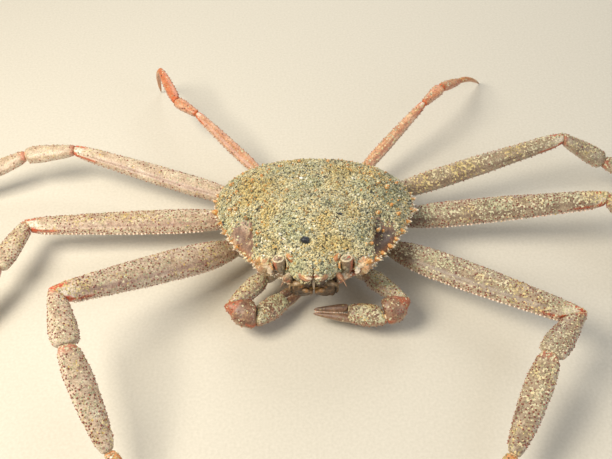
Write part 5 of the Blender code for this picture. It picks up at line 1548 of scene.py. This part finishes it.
# Pebbles and shell bits: the dark stones and white chips that lie on the back, as dented balls.
# Each row is x, y, the radii and what it is.
STONES = [
    (-2.9, -29.2, (1.75, 1.35, 1.2), "pebble"), (-10.9, -27.2, (1.1, 0.6, 0.4), "shell"),
    (-10.0, -27.9, (0.8, 0.5, 0.35), "shell"), (-4.9, 5.9, (0.8, 0.6, 0.4), "shell"),
    (-12.4, -25.6, (0.6, 0.4, 0.3), "shell"), (9.9, -17.7, (0.9, 0.5, 0.4), "pebble"),
]
STONE_MESH, STONE_RISE, DENT_DEPTH = (20, 28), 0.35, 0.16
basalt = mottled("dark pebble of basalt", 1800.0, 4.0,
                 [(0.35, "#16171A"), (0.6, "#2E3034"), (0.75, "#6A6C6E")], {"Roughness": 0.45},
                 (0.5, 0.0001))
sea_shell = mottled("bits of white sea shell", 1500.0, 3.0, [(0.35, "#D8CFBE"), (0.6, "#F6F2E8")],
                    {"Roughness": 0.35})
for name, wanted, look in (("pebbles", "pebble", basalt), ("shell_bits", "shell", sea_shell)):
    stones = []
    for x, y, radii, kind in STONES:
        if kind == wanted:
            spot, upward = top_place(x, y)
            grid = ball(spot + STONE_RISE * upward, frame_along(upward, (0.3, 1.0, 0.2))[[1, 2, 0]],
                        np.array(radii), *STONE_MESH)
            dents = smooth_noise(grid, 0.9, 71)
            stones.append(close_tube(grid + DENT_DEPTH * dents[..., None] * unit(grid - spot)))
    points, quads, fans = joined(stones)
    add_piece(name, on_body(points), quads, fans, look, "carapace_shell")

# The camera and light: the photo's view from in front and above, a pale floor and soft studio light.
CAMERA_AT = (-3.297, -247.396, 273.104)
CAMERA_RIGHT = (0.99955986, -0.02204632, -0.01985059)
CAMERA_UP = (0.02966624, 0.74281774, 0.6688361)
CAMERA_BACK = (0.0, -0.66913061, 0.74314483)
FLOOR_HALF, LIT_AT = 900.0, np.array([0.0, -15.0, 15.0])
scene = bpy.context.scene


def placed(name, data, columns, at):
    """An object in the scene whose x, y and z axes are the columns, at a place in millimetres."""
    made = bpy.data.objects.new(name, data)
    scene.collection.objects.link(made)
    made.matrix_world = Matrix([*zip((*columns[0], 0), (*columns[1], 0), (*columns[2], 0),
                                     (*(np.array(at) * MM), 1))])
    return made


lens = bpy.data.cameras.new("camera")
lens.lens, lens.sensor_width, lens.clip_start = 50.0, 36.0, 0.01
scene.camera = placed("camera", lens, (CAMERA_RIGHT, CAMERA_UP, CAMERA_BACK), CAMERA_AT)
for name, at, size, watts, colour in (
        ("key light", (-300.0, -130.0, 420.0), 240.0, 3.3, "#FFF6E6"),
        ("fill light", (420.0, -300.0, 360.0), 420.0, 1.3, "#EAF1FF"),
        ("back light", (60.0, 480.0, 380.0), 380.0, 1.5, "#FFFFFF")):
    lamp = bpy.data.lights.new(name, "AREA")
    lamp.energy, lamp.size, lamp.color = watts, size * MM, linear(colour)[:3]
    aim = unit(np.array(at) - LIT_AT)
    across = unit(np.cross(np.array([0.0, 0.0, 1.0]), aim))
    placed(name, lamp, (across, np.cross(aim, across), aim), at)

floor_mesh = bpy.data.meshes.new("floor")
floor_mesh.from_pydata([(x * FLOOR_HALF * MM, y * FLOOR_HALF * MM, 0.0) for x, y in
                        ((-1, -1), (1, -1), (1, 1), (-1, 1))], [], [(0, 1, 2, 3)])
floor_mesh.materials.append(mottled("matt studio floor", 900.0, 3.0,
                                    [(0.3, "#C6C0B1"), (0.7, "#CFC9BB")], {"Roughness": 0.9}))
placed("floor", floor_mesh, np.eye(3), (0.0, 0.0, 0.0))

room = bpy.data.worlds.new("studio")
room.use_nodes = True
feed(room.node_tree.nodes["Background"], {"Color": linear("#E8E6E0"), "Strength": 0.35})
scene.world = room
scene.view_settings.view_transform = "Standard"
